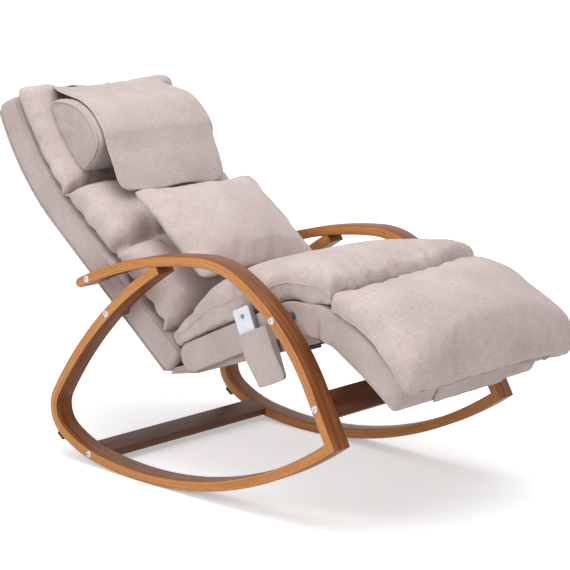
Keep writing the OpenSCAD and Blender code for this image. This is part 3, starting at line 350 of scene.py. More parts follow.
def evaluated(piece):
    graph = bpy.context.evaluated_depsgraph_get()
    mesh = bpy.data.meshes.new_from_object(piece.evaluated_get(graph), depsgraph=graph)
    old = piece.data
    piece.modifiers.clear()
    piece.data = mesh
    mesh.name = piece.name
    if old.users == 0:
        bpy.data.meshes.remove(old)
    return piece


def subdivide(piece, levels=1):
    modifier = piece.modifiers.new("smooth", "SUBSURF")
    modifier.levels = modifier.render_levels = levels
    return evaluated(piece)


def faceOut(piece, merge=0):
    # turns its faces outwards, once points nearer than merge are one
    work = bmesh.new()
    work.from_mesh(piece.data)
    if merge:
        bmesh.ops.remove_doubles(work, verts=work.verts[:], dist=merge)
    bmesh.ops.recalc_face_normals(work, faces=work.faces[:])
    work.to_mesh(piece.data)
    work.free()


def thicken(piece, thickness, back=0, angle=None):
    # one layer of cloth becomes a closed sheet
    modifier = piece.modifiers.new("cloth", "SOLIDIFY")
    modifier.thickness = thickness / 1000
    modifier.offset = 0
    modifier.material_offset = back
    evaluated(piece)
    subdivide(piece)
    smooth(piece, angle)


def quadRows(rows, across, closed=False):
    # quads between rows of points
    faces = []
    for i in range(rows - 1):
        for j in range(across if closed else across - 1):
            a, b = i * across + j, i * across + (j + 1) % across
            faces.append([a, b, b + across, a + across])
    return faces


def blockLattice(half, height, step):
    # closed box of quads from z 0 to height, shared corners
    counts = [max(2, round(length / step)) for length in (2 * half[0], 2 * half[1], height)]
    index, points, faces = {}, [], []

    def corner(i, j, k):
        key = (i, j, k)
        if key not in index:
            index[key] = len(points)
            points.append((-half[0] + 2 * half[0] * i / counts[0], -half[1] + 2 * half[1] * j / counts[1],
                           height * k / counts[2]))
        return index[key]

    # each axis with its two ends, and whether the faces there run the other way round
    for axis, ends in ((2, ((1, False), (0, True))),
                       (1, ((0, False), (1, True))),
                       (0, ((0, True), (1, False)))):
        first, second = (counts[k] for k in range(3) if k != axis)
        for a in range(first):
            for b in range(second):
                ring = ((a + 1, b), (a + 1, b + 1), (a, b + 1))
                for end, turned in ends:
                    spots = ((a, b), *(ring[::-1] if turned else ring))
                    faces.append([corner(*spot[:axis], end * counts[axis], *spot[axis:]) for spot in spots])
    return np.array(points), faces


def roundEdges(points, half, height, corner, upper, lower):
    # rounds the box in plan by corner and at its upper and lower edges
    p = points.copy()
    gap = np.minimum(half[0] - np.abs(p[:, 0]), half[1] - np.abs(p[:, 1]))
    inset = gap.copy()
    for radius, away, place in ((upper, height - p[:, 2], 1), (lower, p[:, 2], -1)):
        if radius <= 0:
            continue
        v = np.stack([radius - gap, radius - away], axis=-1)
        near = (v[:, 0] > 0) & (v[:, 1] > 0)
        size = np.linalg.norm(v, axis=1)
        size[size == 0] = 1
        reach = np.max(v, axis=1)
        inset[near] = radius - (v[:, 0] / size * reach)[near]
        bent = radius - (v[:, 1] / size * reach)
        p[near, 2] = (height - bent if place > 0 else bent)[near]
    shift = inset - gap
    flatX = (half[0] - np.abs(p[:, 0])) <= (half[1] - np.abs(p[:, 1]))
    corner = max(corner, 1e-3)
    vx = np.abs(points[:, 0]) - (half[0] - corner)
    vy = np.abs(points[:, 1]) - (half[1] - corner)
    inCorner = (vx > 0) & (vy > 0)
    p[:, 0] -= np.where(flatX & ~inCorner, np.sign(points[:, 0]) * shift, 0)
    p[:, 1] -= np.where(~flatX & ~inCorner, np.sign(points[:, 1]) * shift, 0)
    size = np.hypot(vx, vy)
    size[size == 0] = 1
    reach = np.maximum(vx, vy) - shift
    p[:, 0] = np.where(inCorner, np.sign(points[:, 0]) * (half[0] - corner + vx / size * reach), p[:, 0])
    p[:, 1] = np.where(inCorner, np.sign(points[:, 1]) * (half[1] - corner + vy / size * reach), p[:, 1])
    return p


def addWeave(mesh, local):
    # cloth coordinates in metres, from the piece's own flat axes
    layer = mesh.uv_layers.new(name="weave")
    local = np.asarray(local) / 1000
    for polygon in mesh.polygons:
        corners = local[list(polygon.vertices)]
        normal = np.cross(corners[2] - corners[0], corners[-1] - corners[1])
        corners = np.delete(corners, np.argmax(np.abs(normal)), axis=1)
        for loop, corner in zip(polygon.loop_indices, corners):
            layer.data[loop].uv = corner


def softBlock(name, line, spec, shape):
    # a board under stretched cloth, along a line; shape(d, y, n, share of the height) gives its own form
    half = ((spec["last"] - spec["first"]) / 2, spec["halfWidth"])
    height = spec["top"] - spec["base"]
    lattice, faces = blockLattice(half, height, spec["step"])
    local = roundEdges(lattice, half, height, spec["corner"], spec["upper"], spec["lower"])
    d = local[:, 0] + (spec["first"] + spec["last"]) / 2
    y, n = local[:, 1], local[:, 2] + spec["base"]
    if line["side"] < 0:
        faces = [f[::-1] for f in faces]
    piece = newObject(name, onLine(line, *shape(d, y, n, local[:, 2] / height)), faces, linenCasing)
    addWeave(piece.data, np.stack([d, y, n], axis=-1))
    subdivide(piece)
    smooth(piece)
    return piece


waiting = []
folding = {}
seamRows = {}
swelling = {"quality": 5, "mass": 0.3, "tension_stiffness": 12.0, "compression_stiffness": 12.0,
            "shear_stiffness": 6.0, "bending_stiffness": 0.4, "tension_damping": 8, "compression_damping": 8,
            "use_pressure": True, "vertex_group_mass": "hold"}
clothFrames = 20


def inflateLater(piece, weights, pressure, grow, limit):
    # queues a cloth run: the cover swells against its held seams, by limit mm at most
    group = piece.vertex_groups.new(name="hold")
    for i in np.nonzero(weights > 0)[0]:
        group.add([int(i)], float(weights[i]), "REPLACE")
    modifier = piece.modifiers.new("cover", "CLOTH")
    for name, value in (*swelling.items(), ("uniform_pressure_force", pressure), ("shrink_min", -grow)):
        setattr(modifier.settings, name, value)
    modifier.settings.effector_weights.gravity = 0
    modifier.point_cache.frame_start = 1
    modifier.point_cache.frame_end = clothFrames
    waiting.append((piece, np.array([v.co for v in piece.data.vertices]), limit))


def runCloth():
    for step in range(1, clothFrames + 1):
        scene.frame_set(step)
    graph = bpy.context.evaluated_depsgraph_get()
    for piece, rest, limit in waiting:
        moved = np.array([v.co for v in piece.evaluated_get(graph).data.vertices]) - rest
        size = np.maximum(np.linalg.norm(moved, axis=1), 1e-6)
        moved *= np.minimum(1, limit / 1000 / size)[:, None]
        piece.data.vertices.foreach_set("co", (rest + moved).ravel())
        print("cover", piece.name, "moved", round(float(size.max() * 1000), 1))
    scene.frame_set(1)
    for piece, rest, limit in waiting:
        piece.modifiers.clear()
        piece.vertex_groups.clear()
        subdivide(piece)
        if piece.name in folding:
            foldCover(piece)
        smooth(piece)


# node trees
def newTree(name, sockets):
    tree = bpy.data.node_groups.new(name, "GeometryNodeTree")
    for label, kind in (("Geometry", "Geometry"), *sockets.items(), ("Finish", "Material")):
        tree.interface.new_socket(label, in_out="INPUT", socket_type="NodeSocket" + kind)
    tree.interface.new_socket("Geometry", in_out="OUTPUT", socket_type="NodeSocketGeometry")
    return tree, tree.nodes.new("NodeGroupInput").outputs


def finishTree(tree, given, made):
    real = addNode(tree, "GeometryNodeRealizeInstances", inputs={"Geometry": made})
    paint = addNode(tree, "GeometryNodeSetMaterial", inputs={"Geometry": real, "Material": given["Finish"]})
    addNode(tree, "NodeGroupOutput", inputs={"Geometry": paint}, out=None)
    return tree


def applyTree(piece, tree, values):
    modifier = piece.modifiers.new(tree.name, "NODES")
    modifier.node_group = tree
    names = {item.name: item.identifier for item in tree.interface.items_tree if item.in_out == "INPUT"}
    for label, value in values.items():
        modifier[names[label]] = value
    piece.data.update()
    return evaluated(piece)


def sweepTree(name, round):
    # a board or a cord drawn along a path, with its place in the section kept for the grain
    tree, given = newTree(name, {"Thickness": "Float", "Width": "Float", "Edge": "Float"})
    path = addNode(tree, "GeometryNodeMeshToCurve", inputs={"Mesh": given["Geometry"]})
    path = addNode(tree, "GeometryNodeSetCurveNormal", {} if round else {"mode": "Z_UP"}, {"Curve": path})
    length = addNode(tree, "GeometryNodeSplineParameter", out="Length")
    path = addNode(tree, "GeometryNodeStoreNamedAttribute", {"data_type": "FLOAT", "domain": "POINT"},
                   {"Geometry": path, "Name": "along", "Value": length})
    if round:
        section = addNode(tree, "GeometryNodeCurvePrimitiveCircle",
                          inputs={"Resolution": 10, "Radius": given["Thickness"]})
    else:
        section = addNode(tree, "GeometryNodeCurvePrimitiveQuadrilateral",
                          inputs={"Width": given["Thickness"], "Height": given["Width"]})
        section = addNode(tree, "GeometryNodeFilletCurve", {"mode": "POLY"},
                          {"Curve": section, "Count": 3, "Radius": given["Edge"]})
    position = addNode(tree, "GeometryNodeInputPosition")
    section = addNode(tree, "GeometryNodeStoreNamedAttribute",
                      {"data_type": "FLOAT_VECTOR", "domain": "POINT"},
                      {"Geometry": section, "Name": "section", "Value": position})
    return finishTree(tree, given, addNode(tree, "GeometryNodeCurveToMesh", inputs={
        "Curve": path, "Profile Curve": section, "Fill Caps": True}))


def placeTree():
    # copies of one small part, one on each point, turned to the point's aim
    tree, given = newTree("place", {"Part": "Object"})
    part = addNode(tree, "GeometryNodeObjectInfo", inputs={"Object": given["Part"]}, out="Geometry")
    aim = addNode(tree, "GeometryNodeInputNamedAttribute", {"data_type": "FLOAT_VECTOR"}, {"Name": "aim"})
    turn = addNode(tree, "FunctionNodeAlignRotationToVector", {"axis": "Z"}, {"Vector": aim})
    return finishTree(tree, given, addNode(tree, "GeometryNodeInstanceOnPoints", inputs={
        "Points": given["Geometry"], "Instance": part, "Rotation": turn}))


def stitchTree():
    # short raised stitches along a seam
    tree, given = newTree("stitches", {"Step": "Float", "Length": "Float", "Thread": "Float"})
    path = addNode(tree, "GeometryNodeMeshToCurve", inputs={"Mesh": given["Geometry"]})
    path = addNode(tree, "GeometryNodeResampleCurve", {"mode": "LENGTH"},
                   {"Curve": path, "Length": given["Step"]})
    tangent = addNode(tree, "GeometryNodeInputTangent")
    turn = addNode(tree, "FunctionNodeAlignRotationToVector", {"axis": "Z"}, {"Vector": tangent})
    stitch = addNode(tree, "GeometryNodeMeshUVSphere", inputs={"Segments": 8, "Rings": 6, "Radius": 1.0})
    size = addNode(tree, "ShaderNodeCombineXYZ",
                   inputs={0: given["Thread"], 1: given["Thread"], 2: given["Length"]})
    return finishTree(tree, given, addNode(tree, "GeometryNodeInstanceOnPoints", inputs={
        "Points": path, "Instance": stitch, "Rotation": turn,
        "Scale": size}))


boardTree, cordTree = sweepTree("board", False), sweepTree("cord", True)
partTree, seamTree = placeTree(), stitchTree()


def pathObject(name, points, closed=False):
    count = len(points)
    edges = [(i, (i + 1) % count) for i in range(count if closed else count - 1)]
    return newObject(name, points, edges=edges)


def piping(name, points, radius, material, closed=False):
    piece = applyTree(pathObject(name, points, closed), cordTree,
                      {"Thickness": radius / 1000, "Finish": material})
    smooth(piece)
    mesh = piece.data
    along, section = mesh.attributes["along"].data, mesh.attributes["section"].data
    layer = mesh.uv_layers.new(name="weave")
    for loop in mesh.loops:
        s = section[loop.vertex_index].vector
        layer.data[loop.index].uv = (along[loop.vertex_index].value, math.atan2(s[1], s[0]) * radius / 1000)
    return piece


def stitchRow(name, points):
    # stitches really 3 mm long and 0.4 mm thick, 5 mm apart, drawn twice as thick so that they show
    row = applyTree(pathObject(name, points), seamTree,
                    {"Step": 0.005, "Length": 0.0015, "Thread": 0.00045, "Finish": thread})
    smooth(row)
    return row


def joinPieces(name, pieces):
    # one piece of them all, with their finishes
    work = bpy.data.meshes.new(name)
    kit = bmesh.new()
    slots = []
    for piece in pieces:
        start = len(kit.faces)
        kit.from_mesh(piece.data)
        kit.faces.ensure_lookup_table()
        for face in kit.faces[start:]:
            material = piece.data.materials[face.material_index]
            if material not in slots:
                slots.append(material)
            face.material_index = slots.index(material)
    kit.to_mesh(work)
    kit.free()
    for material in slots:
        work.materials.append(material)
    for piece in pieces:
        mesh = piece.data
        bpy.data.objects.remove(piece)
        if mesh.users == 0:
            bpy.data.meshes.remove(mesh)
    return addObject(name, work)


def cords(name, body, lines, radius, material):
    # a piping along each line, joined
    pieces = [piping(name + "Cord", points, radius, material) for points in lines]
    settle(joinPieces(name, pieces), body, "linen")


# bent laminate side frames
laminate = {"edge": 0.0022, "step": 14, "nose": 12.5, "reach": 30}


def laminateBoard(name, start, runs, last, cuts, roundEnd=False):
    first, nose = -laminate["reach"], laminate["nose"]
    steps = list(np.linspace(first, last, max(2, round((last - first) / laminate["step"]))))
    if roundEnd:
        steps += [last + nose * math.sin(math.radians(a)) for a in (20, 40, 60, 75, 86)]
    points = [(*[v / 1000 for v in pathAt(start, runs, d)[:2]], 0) for d in steps]
    piece = applyTree(pathObject(name, points), boardTree, {
        "Thickness": chair["thick"] / 1000, "Width": chair["wide"] / 1000, "Edge": laminate["edge"],
        "Finish": beech})
    mesh = piece.data
    if roundEnd:
        co = np.array([v.co for v in mesh.vertices])
        along = np.array([a.value for a in mesh.attributes["along"].data]) * 1000 + first
        over = np.clip(along - last, 0, nose - 0.01)
        keepShare = np.sqrt(np.maximum(0, 1 - (over / nose) ** 2))
        for i in np.nonzero(over > 0.01)[0]:
            state = pathAt(start, runs, along[i])
            middle = np.array([state[0] / 1000, state[1] / 1000, co[i, 2]])
            co[i] = middle + (co[i] - middle) * keepShare[i]
        mesh.vertices.foreach_set("co", co.ravel())
    mesh.transform(Matrix.Rotation(math.radians(90), 4, "X"))
    for point, normal, reach in cuts:
        # each cut takes only what lies near it, since the plane would meet the bent board again
        work = bmesh.new()
        work.from_mesh(mesh)
        near = {v for v in work.verts if math.hypot(v.co.x - point[0], v.co.z - point[2]) < reach}
        faces = [f for f in work.faces if all(v in near for v in f.verts)]
        edges = {e for f in faces for e in f.edges}
        verts = {v for f in faces for v in f.verts}
        cut = bmesh.ops.bisect_plane(work, geom=list(verts) + list(edges) + faces, dist=1e-6,
                                     plane_co=point, plane_no=normal, clear_outer=True)
        rim = [e for e in cut["geom_cut"] if isinstance(e, bmesh.types.BMEdge)]
        bmesh.ops.edgeloop_fill(work, edges=rim)
        bmesh.ops.recalc_face_normals(work, faces=work.faces[:])
        work.to_mesh(mesh)
        work.free()
    return piece


def markEdges(piece, isEdge):
    # marks the faces that show plies
    edge = piece.data.attributes.new("edge", "FLOAT", "FACE")
    edge.data.foreach_set("value", [float(isEdge(p.normal)) for p in piece.data.polygons])


mitre = math.radians((armStart[2] + rockerStart[2]) / 2)
mitreNormal = (-math.sin(mitre), 0, math.cos(mitre))
tipPoint = (tip[0] / 1000, 0, tip[1] / 1000)


def rockerEnd():
    # where the upright meets the arm's underside
    best = None
    upright = total(chair["rocker"])
    for d in np.arange(upright - 160, upright + 40, 1.0):
        p = pathAt(rockerStart, chair["rocker"], d)
        for a in np.arange(armEnd - 260, armEnd, 4.0):
            q = pathAt(armStart, chair["arm"], a)
            under = leftOf(q, chair["thick"] / 2)
            gap = math.hypot(p[0] - under[0], p[1] - under[1])
            if best is None or gap < best[0]:
                best = (gap, d, q)
    return best


gap, rockerLast, armState = rockerEnd()
under = leftOf(armState, chair["thick"] / 2 + 0.2)
lean = math.radians(armState[2])
print("rocker meets arm", round(gap, 2), round(rockerLast, 1))
tipCuts = [(tipPoint, mitreNormal, 0.09), (tipPoint, tuple(-v for v in mitreNormal), 0.09)]
topCut = ((under[0] / 1000, 0, under[1] / 1000), (math.sin(lean), 0, -math.cos(lean)), 0.16)
rockerLast += laminate["reach"]
for label, side in (("left", 1), ("right", -1)):
    for part, start, last, cuts in (("arm", armStart, armEnd, tipCuts[:1]),
                                    ("rocker", rockerStart, rockerLast, [tipCuts[1], topCut])):
        board = laminateBoard(label + part.capitalize(), start, chair[part], last, cuts, part == "arm")
        board.data.transform(Matrix.Translation((0, side * (chair["outer"] - chair["wide"] / 2) / 1000, 0)))
        markEdges(board, lambda normal: abs(normal.y) > 0.8)
        smooth(board, 32)
        settle(board, "frame", "oiled_beech", label + "_" + part)
print("side frames made")

cross = {"half": 0.2775, "thick": 0.02, "edge": 0.003, "drop": -2.5}


def crossBoard(name, state, width, node):
    centre = leftOf(state, cross["drop"])
    piece = applyTree(pathObject(name, [(0, y, 0) for y in (-cross["half"], 0, cross["half"])]), boardTree, {
        "Thickness": width, "Width": cross["thick"], "Edge": cross["edge"], "Finish": darkBeech})
    markEdges(piece, lambda normal: abs(normal.z) < 0.6 and abs(normal.y) < 0.5)
    piece.data.transform(Matrix.Translation((centre[0] / 1000, 0, centre[1] / 1000))
                         @ Matrix.Rotation(-math.radians(state[2]), 4, "Y"))
    smooth(piece, 32)
    settle(piece, "frame", "dark_beech", node)


crossBoard("frontBoard", boltD, 0.064, "front_crossbar")
crossBoard("rearBoard", boltE, 0.066, "rear_crossbar")


def boltPart():
    # domed head with a six-sided socket, washer and shank, head up along Z
    rings = [(4, -88, 0), (4, -0.2, 0), (8.6, -0.2, 0), (8.8, 0.3, 0), (8.5, 0.9, 0), (7.4, 0.9, 0),
             (7.4, 1.6, 0), (6.6, 2.6, 0), (5.2, 3.0, 0), (3.1, 3.0, 1), (3.0, 0.8, 1)]
    count = 36
    points = []
    for radius, z, six in rings:
        for k in range(count):
            a = 2 * math.pi * k / count
            flat = math.cos(math.pi / 6) / math.cos(a % (math.pi / 3) - math.pi / 6)
            r = radius * (flat if six else 1)
            points.append((r * math.cos(a) / 1000, r * math.sin(a) / 1000, z / 1000))
    ends = [list(range(count))[::-1], [(len(rings) - 1) * count + k for k in range(count)]]
    return newObject("boltPart", points, quadRows(len(rings), count, True) + ends, zincSteel)


headPart = boltPart()
upright = total(chair["rocker"][:3])
spots = (pathAt(rockerStart, chair["rocker"], upright + d) for d in np.arange(200, 420, 0.25))
boltB = next(p for p in spots
             if (p[0] - backFoot[0]) * math.sin(rise) + (p[1] - backFoot[1]) * math.cos(rise) > -52)
places = [(p[0] / 1000, side * (chair["outer"] + 0.1) / 1000, p[1] / 1000)
          for side in (1, -1) for p in (boltA, boltB, boltC, boltD, boltE)]
bolts = newObject("frameBolts", places)
aims = bolts.data.attributes.new("aim", "FLOAT_VECTOR", "POINT")
aims.data.foreach_set("vector", np.array([(0, np.sign(p[1]), 0) for p in places], float).ravel())
bolts = applyTree(bolts, partTree, {"Part": headPart, "Finish": zincSteel})
smooth(bolts, 30)
settle(bolts, "frame", "bright_steel", "frame_bolts")
bpy.data.objects.remove(headPart)
print("boards and bolts made", boltB)

# back casing, its cloth stretched over the edges
backCase = {"first": 2, "last": backLen, "halfWidth": 260, "base": -82, "top": -0.3, "corner": 10, "upper": 7,
            "lower": 9, "step": 17, "topBend": 26}


def backCaseShape(d, y, n, s):
    bend = backCase["topBend"]
    over = np.clip(d - (backLen - bend), 0, bend)
    depth = -backCase["base"] - bend + np.sqrt(np.maximum(0, bend ** 2 - over ** 2))
    n = np.where(n < backCase["base"] + bend, np.maximum(n, -depth), n)
    swell = 1.6 * np.sin(np.pi * np.clip(s, 0, 1)) * (np.abs(y) > 200)
    return d, y + np.sign(y) * swell * 0.6, n


settle(softBlock("backCasing", backLine, backCase, backCaseShape), "frame", "wrapped_board", "back_shell")
ds = np.arange(10, backLen - 14, 12.0)
cords("backWelts", "frame", [onLine(backLine, ds, side * 259.4, n) for side in (1, -1) for n in (-76, -6)],
      2.4, linenCasing)


# filled covers
def fullness(value, power):
    return np.sign(value) * np.abs(value) ** power


def endRound(gap, radius):
    # share of the height left at a distance from an end
    near = np.clip(gap / radius, 0, 1)
    return np.sqrt(np.maximum(0.06, 1 - (1 - near) ** 2))


def stations(first, last, count, places):
    # rows across a cover, closer together at its seams and ends
    fine = np.linspace(first, last, 2000)
    weight = 1 + sum(1.9 * bump(fine, place, 22) for place in places)
    share = np.concatenate([[0], np.cumsum((weight[1:] + weight[:-1]) / 2)])
    return np.interp(np.linspace(0, share[-1], count + 1), share, fine)


def gathers(along, away, step, reach, depth, seed):
    # short folds square to a seam: along runs down the seam, away is the distance from it
    drift = 1.7 * np.sin(along / (step * 2.3) + seed) + 0.9 * np.sin(along / (step * 0.9) - 2 * seed)
    wave = 0.5 + 0.5 * np.cos(2 * np.pi * along / step + drift)
    size = 0.65 + 0.35 * np.sin(along / (step * 1.6) + 3 * seed)
    return -depth * size * wave ** 1.6 * np.exp(-(np.maximum(away, 0) / reach) ** 1.3)


def coverForm(name, line, pad, width, span, folds, move):
    # width(d) is the half width, span(d) the lowest and highest height, pad low the share under the side
    # seam, folds(d, y, up) the depth of its folds and move(d, y, n, up) the cover's own pulls and swells
    length = pad["last"] - pad["first"]
    lattice, faces = blockLattice((length / 2, pad["wide"]), pad["high"], pad["step"])
    count = max(2, round(length / pad["step"]))
    rows = stations(pad["first"], pad["last"], count, [pad["first"], pad["last"], *pad["seams"]])
    d = rows[np.rint((lattice[:, 0] / length + 0.5) * count).astype(int)]
    across, rise = lattice[:, 1] / pad["wide"], 2 * lattice[:, 2] / pad["high"] - 1
    x, z = across * np.sqrt(1 - rise ** 2 / 2), rise * np.sqrt(1 - across ** 2 / 2)
    r = np.maximum(np.hypot(x, z), 1e-6)
    c, q = x / r, z / r
    under = q < 0
    low, high = span(d)
    h = high - low
    box, sideFull, topFull, farSide, farTop = pad.get("section", (0.3, 0.62, 0.75, 0.62, 0.75))
    share = ease(across, -0.3, 0.6)
    sideFull, topFull = sideFull + (farSide - sideFull) * share, topFull + (farTop - topFull) * share
    y = width(d) * r * np.where(under, fullness(c, box), fullness(c, sideFull))
    n = low + h * pad["low"] + r * h * np.where(under, pad["low"] * fullness(q, box * 1.6),
                                                (1 - pad["low"]) * fullness(q, topFull))
    top, side = lattice[:, 2] > pad["high"] - 0.01, np.abs(lattice[:, 1]) > pad["wide"] - 0.01
    out = pad["wide"] + pad["high"]
    around = np.where(side, out - lattice[:, 2], out + pad["wide"] - np.abs(lattice[:, 1]))
    wrap = np.where(~top & (side | (lattice[:, 2] < 0.01)), np.sign(across) * around, lattice[:, 1])
    local = np.stack([d, y, n], axis=-1)
    d, y, n = move(d, y, n, np.where(under, 0, q))
    if line["side"] < 0:
        faces = [f[::-1] for f in faces]
    piece = newObject(name, onLine(line, d, y, n), faces, linen)
    layer = piece.data.uv_layers.new(name="weave")
    for polygon in piece.data.polygons:
        ids = list(polygon.vertices)
        capped = np.ptp(lattice[ids, 0]) < 0.01
        for loop, i in zip(polygon.loop_indices, ids):
            layer.data[loop].uv = local[i, 1:] / 1000 if capped else (local[i, 0] / 1000, wrap[i] / 1000)
    spots = piece.data.attributes.new("place", "FLOAT_VECTOR", "POINT")
    spots.data.foreach_set("vector", np.stack([local[:, 0], local[:, 1], q * r], axis=-1).ravel())
    smooth(piece)
    hold = np.where(rise < -0.85, 1.0, 0.0)
    for place in pad["seams"]:
        hold = np.maximum(hold, np.where(top | side, 0.95 * bump(d, place, 7), 0))
    for end in (pad["first"], pad["last"]):
        hold = np.maximum(hold, 0.85 * bump(d, end, 8))
    hold = np.maximum(hold, np.where(side, 0.8 * np.exp(-(q / 0.16) ** 2), 0))
    folding[name] = folds
    inflateLater(piece, hold, 2.2, 0.03, pad["limit"])
    return piece


def foldCover(piece):
    # presses the queued folds into the finished cover
    mesh = piece.data
    place = np.array([spot.vector for spot in mesh.attributes["place"].data])
    points, normals = (np.array([getattr(v, key) for v in mesh.vertices]) for key in ("co", "normal"))
    depth = np.where(place[:, 2] < -0.9, 0, folding[piece.name](*place.T))
    points = points + normals * (depth / 1000)[:, None]
    mesh.vertices.foreach_set("co", points.ravel())
    onSeam = np.abs(place[:, 2]) < 1e-4
    seamRows[piece.name] = (place[onSeam], points[onSeam] + normals[onSeam] * 0.0006)
    mesh.attributes.remove(mesh.attributes["place"])
    mesh.update()


def slowWaves(d, y, size, seed):
    # broad unevenness of the filling
    return size * (np.sin(d / 61 + seed) * np.sin(y / 73 - seed) + 0.6 * np.sin(d / 37 - y / 52 + 2 * seed))


# back pad: bolster over the lower back with a sewn channel, gathered at its sides. The channel is shallower
# in the middle, where the massage balls lie behind it
backPad = {"first": 72, "last": 545.4, "wide": 260, "high": 92, "low": 0.4, "step": 13.5, "seams": (320,),
           "limit": 9}


def backWidth(d):
    return 263 - 6 * np.sin(np.pi * (d - 72) / 473) - 8 * bump(d, 318, 18) + 5 * bump(d, 348, 16)


def backSpan(d):
    ends = endRound(np.minimum((d - backPad["first"]) * 1.1, backPad["last"] - d), 58)
    return 0.3 + 0 * d, backPad["high"] * ends * (1 - 0.24 * bump(d, 320, 17))


def backFolds(d, y, up):
    depth = gathers(d, 263 - np.abs(y), 58, 62, 7.5, 0.4) + slowWaves(d, y, 2.2, 1.3)
    for place in backPad["seams"]:
        depth = depth + gathers(y, np.abs(d - place), 71, 52, 6, place / 100) - 5 * bump(d, place, 6)
    return depth + gathers(y, 545 - d, 68, 46, 5, 2.2) + gathers(y, d - 72, 63, 40, 5, 0.2)


def backMove(d, y, n, up):
    return d, y, n * (1 - 0.32 * bump(d, 320, 17) * ease(np.abs(y), 125, 205))


backCushion = coverForm("backCushion", backLine, backPad, backWidth, backSpan, backFolds, backMove)

# head pad: thinner, with full upper corners and a hollow for the pillow
headPad = {"first": 546.2, "last": backLen + 20, "wide": 260, "high": 62, "low": 0.45, "step": 13,
           "seams": (), "limit": 8}


def headWidth(d):
    corner = 34 - np.sqrt(np.maximum(0, 34 ** 2 - np.clip(34 - (headPad["last"] - d), 0, 34) ** 2))
    return 263 - 5 * np.sin(np.pi * (d - 546) / 328) - 0.9 * corner


def headSpan(d):
    return 0.3 + 0 * d, 61 * endRound(np.minimum(d - headPad["first"], (headPad["last"] - d) * 1.2), 34)


def headRise(d, y):
    out = np.abs(y)
    corner = 17 * bump(d, backLen - 16, 40) * ease(out, 130, 190) * (1 - 0.5 * ease(out, 215, 262))
    return corner + 5 * bump(out, 212, 34) - 9 * bump(y, 0, 170) * ease(d, 760, backLen)


def headMove(d, y, n, up):
    drawn = 10 * (1 - (y / 260) ** 2) * ease(d, 790, headPad["last"])
    return d - drawn, y, n + np.clip(up * 1.4, 0, 1) * headRise(d, y)


def headFolds(d, y, up):
    depth = gathers(d, 263 - np.abs(y), 63, 60, 5.5, 1.1) + slowWaves(d, y, 1.8, 0.2)
    return depth + gathers(y, headPad["last"] - d, 71, 50, 3, 0.7) + gathers(y, d - 546, 45, 40, 5, 1.9)


headCushion = coverForm("headCushion", backLine, headPad, headWidth, headSpan, headFolds, headMove)

# seat pad: swells under the thighs and rolls down to the seam at the knee
seatPad = {"first": -44, "last": seatLen + 27, "wide": 261, "high": 104, "low": 0.47, "step": 13.5,
           "seams": (), "section": (0.13, 0.66, 0.78, 0.5, 0.6), "limit": 8}
backNormal = np.array([math.sin(rise), math.cos(rise)])
seatLean = math.radians(chair["seatLean"])
seatNormal = np.array([-math.sin(seatLean), math.cos(seatLean)])


def seatSpan(d):
    # its rear end leans on the back
    flat = onLine(seatLine, d, 0 * d, 0 * d)[:, [0, 2]] * 1000 - np.array(backFoot[:2])
    base = np.maximum(0.3, (0.6 - flat @ backNormal) / float(seatNormal @ backNormal))
    start = np.where(d < 100, 0.5 + (d + 44) / 288, 1.0)
    swell = np.where((d < 20) | (d > 320), 0, np.sin(np.pi * np.clip((d - 20) / 300, 0, 1)))
    top = (94 * start + 27 * swell) * (1 - 0.08 * bump(d, 173, 15))
    roll = np.clip((seatPad["last"] - d) / 62, 0, 1)
    top = np.where(d > 200, 43 + (top - 43) * np.sqrt(1 - (1 - roll) ** 2), top)
    return base, np.maximum(top, base + 10)


def seatWidth(d):
    return 263 - 5 * np.sin(np.pi * (d + 44) / 548) - 16 * ease(-d, 0, 44)


def seatFolds(d, y, up):
    edge = 263 - np.abs(y)
    side = np.exp(-(up / 0.45) ** 2) * (np.abs(y) > 225)
    depth = gathers(y, seatPad["last"] - d, 57, 52, 5, 0.9) + slowWaves(d, y, 2.0, 2.1)
    depth = depth + side * 3.4 * np.sin(d / 8.5 + 1.4 * np.sin(d / 31)) * (0.4 + 0.6 * np.sin(d / 57) ** 2)
    return depth + gathers(d, edge, 39, 30, 3.2, 1.7) - 3 * bump(d, 236, 7) * side


def seatMove(d, y, n, up):
    nose = ease(d, seatLen - 80, seatPad["last"])
    lift = 14 * bump(d, seatLen + 20, 24) * ease(y, 40, 220) * np.clip(n / 30, 0, 1)
    far = ease(y, 20, 200) * (1 - ease(d, seatLen - 70, seatLen + 15))
    sag = 6 * bump(d, seatLen - 40, 30) * (1 - ease(n, 4, 40))
    ear = 15 * nose * ease(-y, 170, 250) * np.clip((n - 30) / 25, 0, 1)
    return d, y, n * (1 - 0.12 * nose * ease(-y, 140, 262) - 0.13 * far) + lift + ear - sag


seatCushion = coverForm("seatCushion", seatLine, seatPad, seatWidth, seatSpan, seatFolds, seatMove)

# calf pad: climbs from the seam at the knee, its front edge drawn back between full corners
calfPad = {"first": 25, "last": legLen + 34, "wide": 272, "high": 104, "low": 0.07, "step": 13.5,
           "seams": (), "section": (0.3, 0.72, 0.84, 0.46, 0.55), "limit": 9}


def calfSpan(d):
    climb = np.sin(np.pi / 2 * np.clip((d - calfPad["first"]) / 105, 0, 1)) ** 1.08
    return 0.3 + 0 * d, (49 + 53 * climb) * endRound(calfPad["last"] - d, 84) ** 1.15


def calfWidth(d):
    gap = 20 - np.clip(calfPad["last"] - d, 0, 20)
    return 262 + 24 * ease(d, 120, 290) - (20 - np.sqrt(np.maximum(0, 20 ** 2 - gap ** 2))) * 0.7


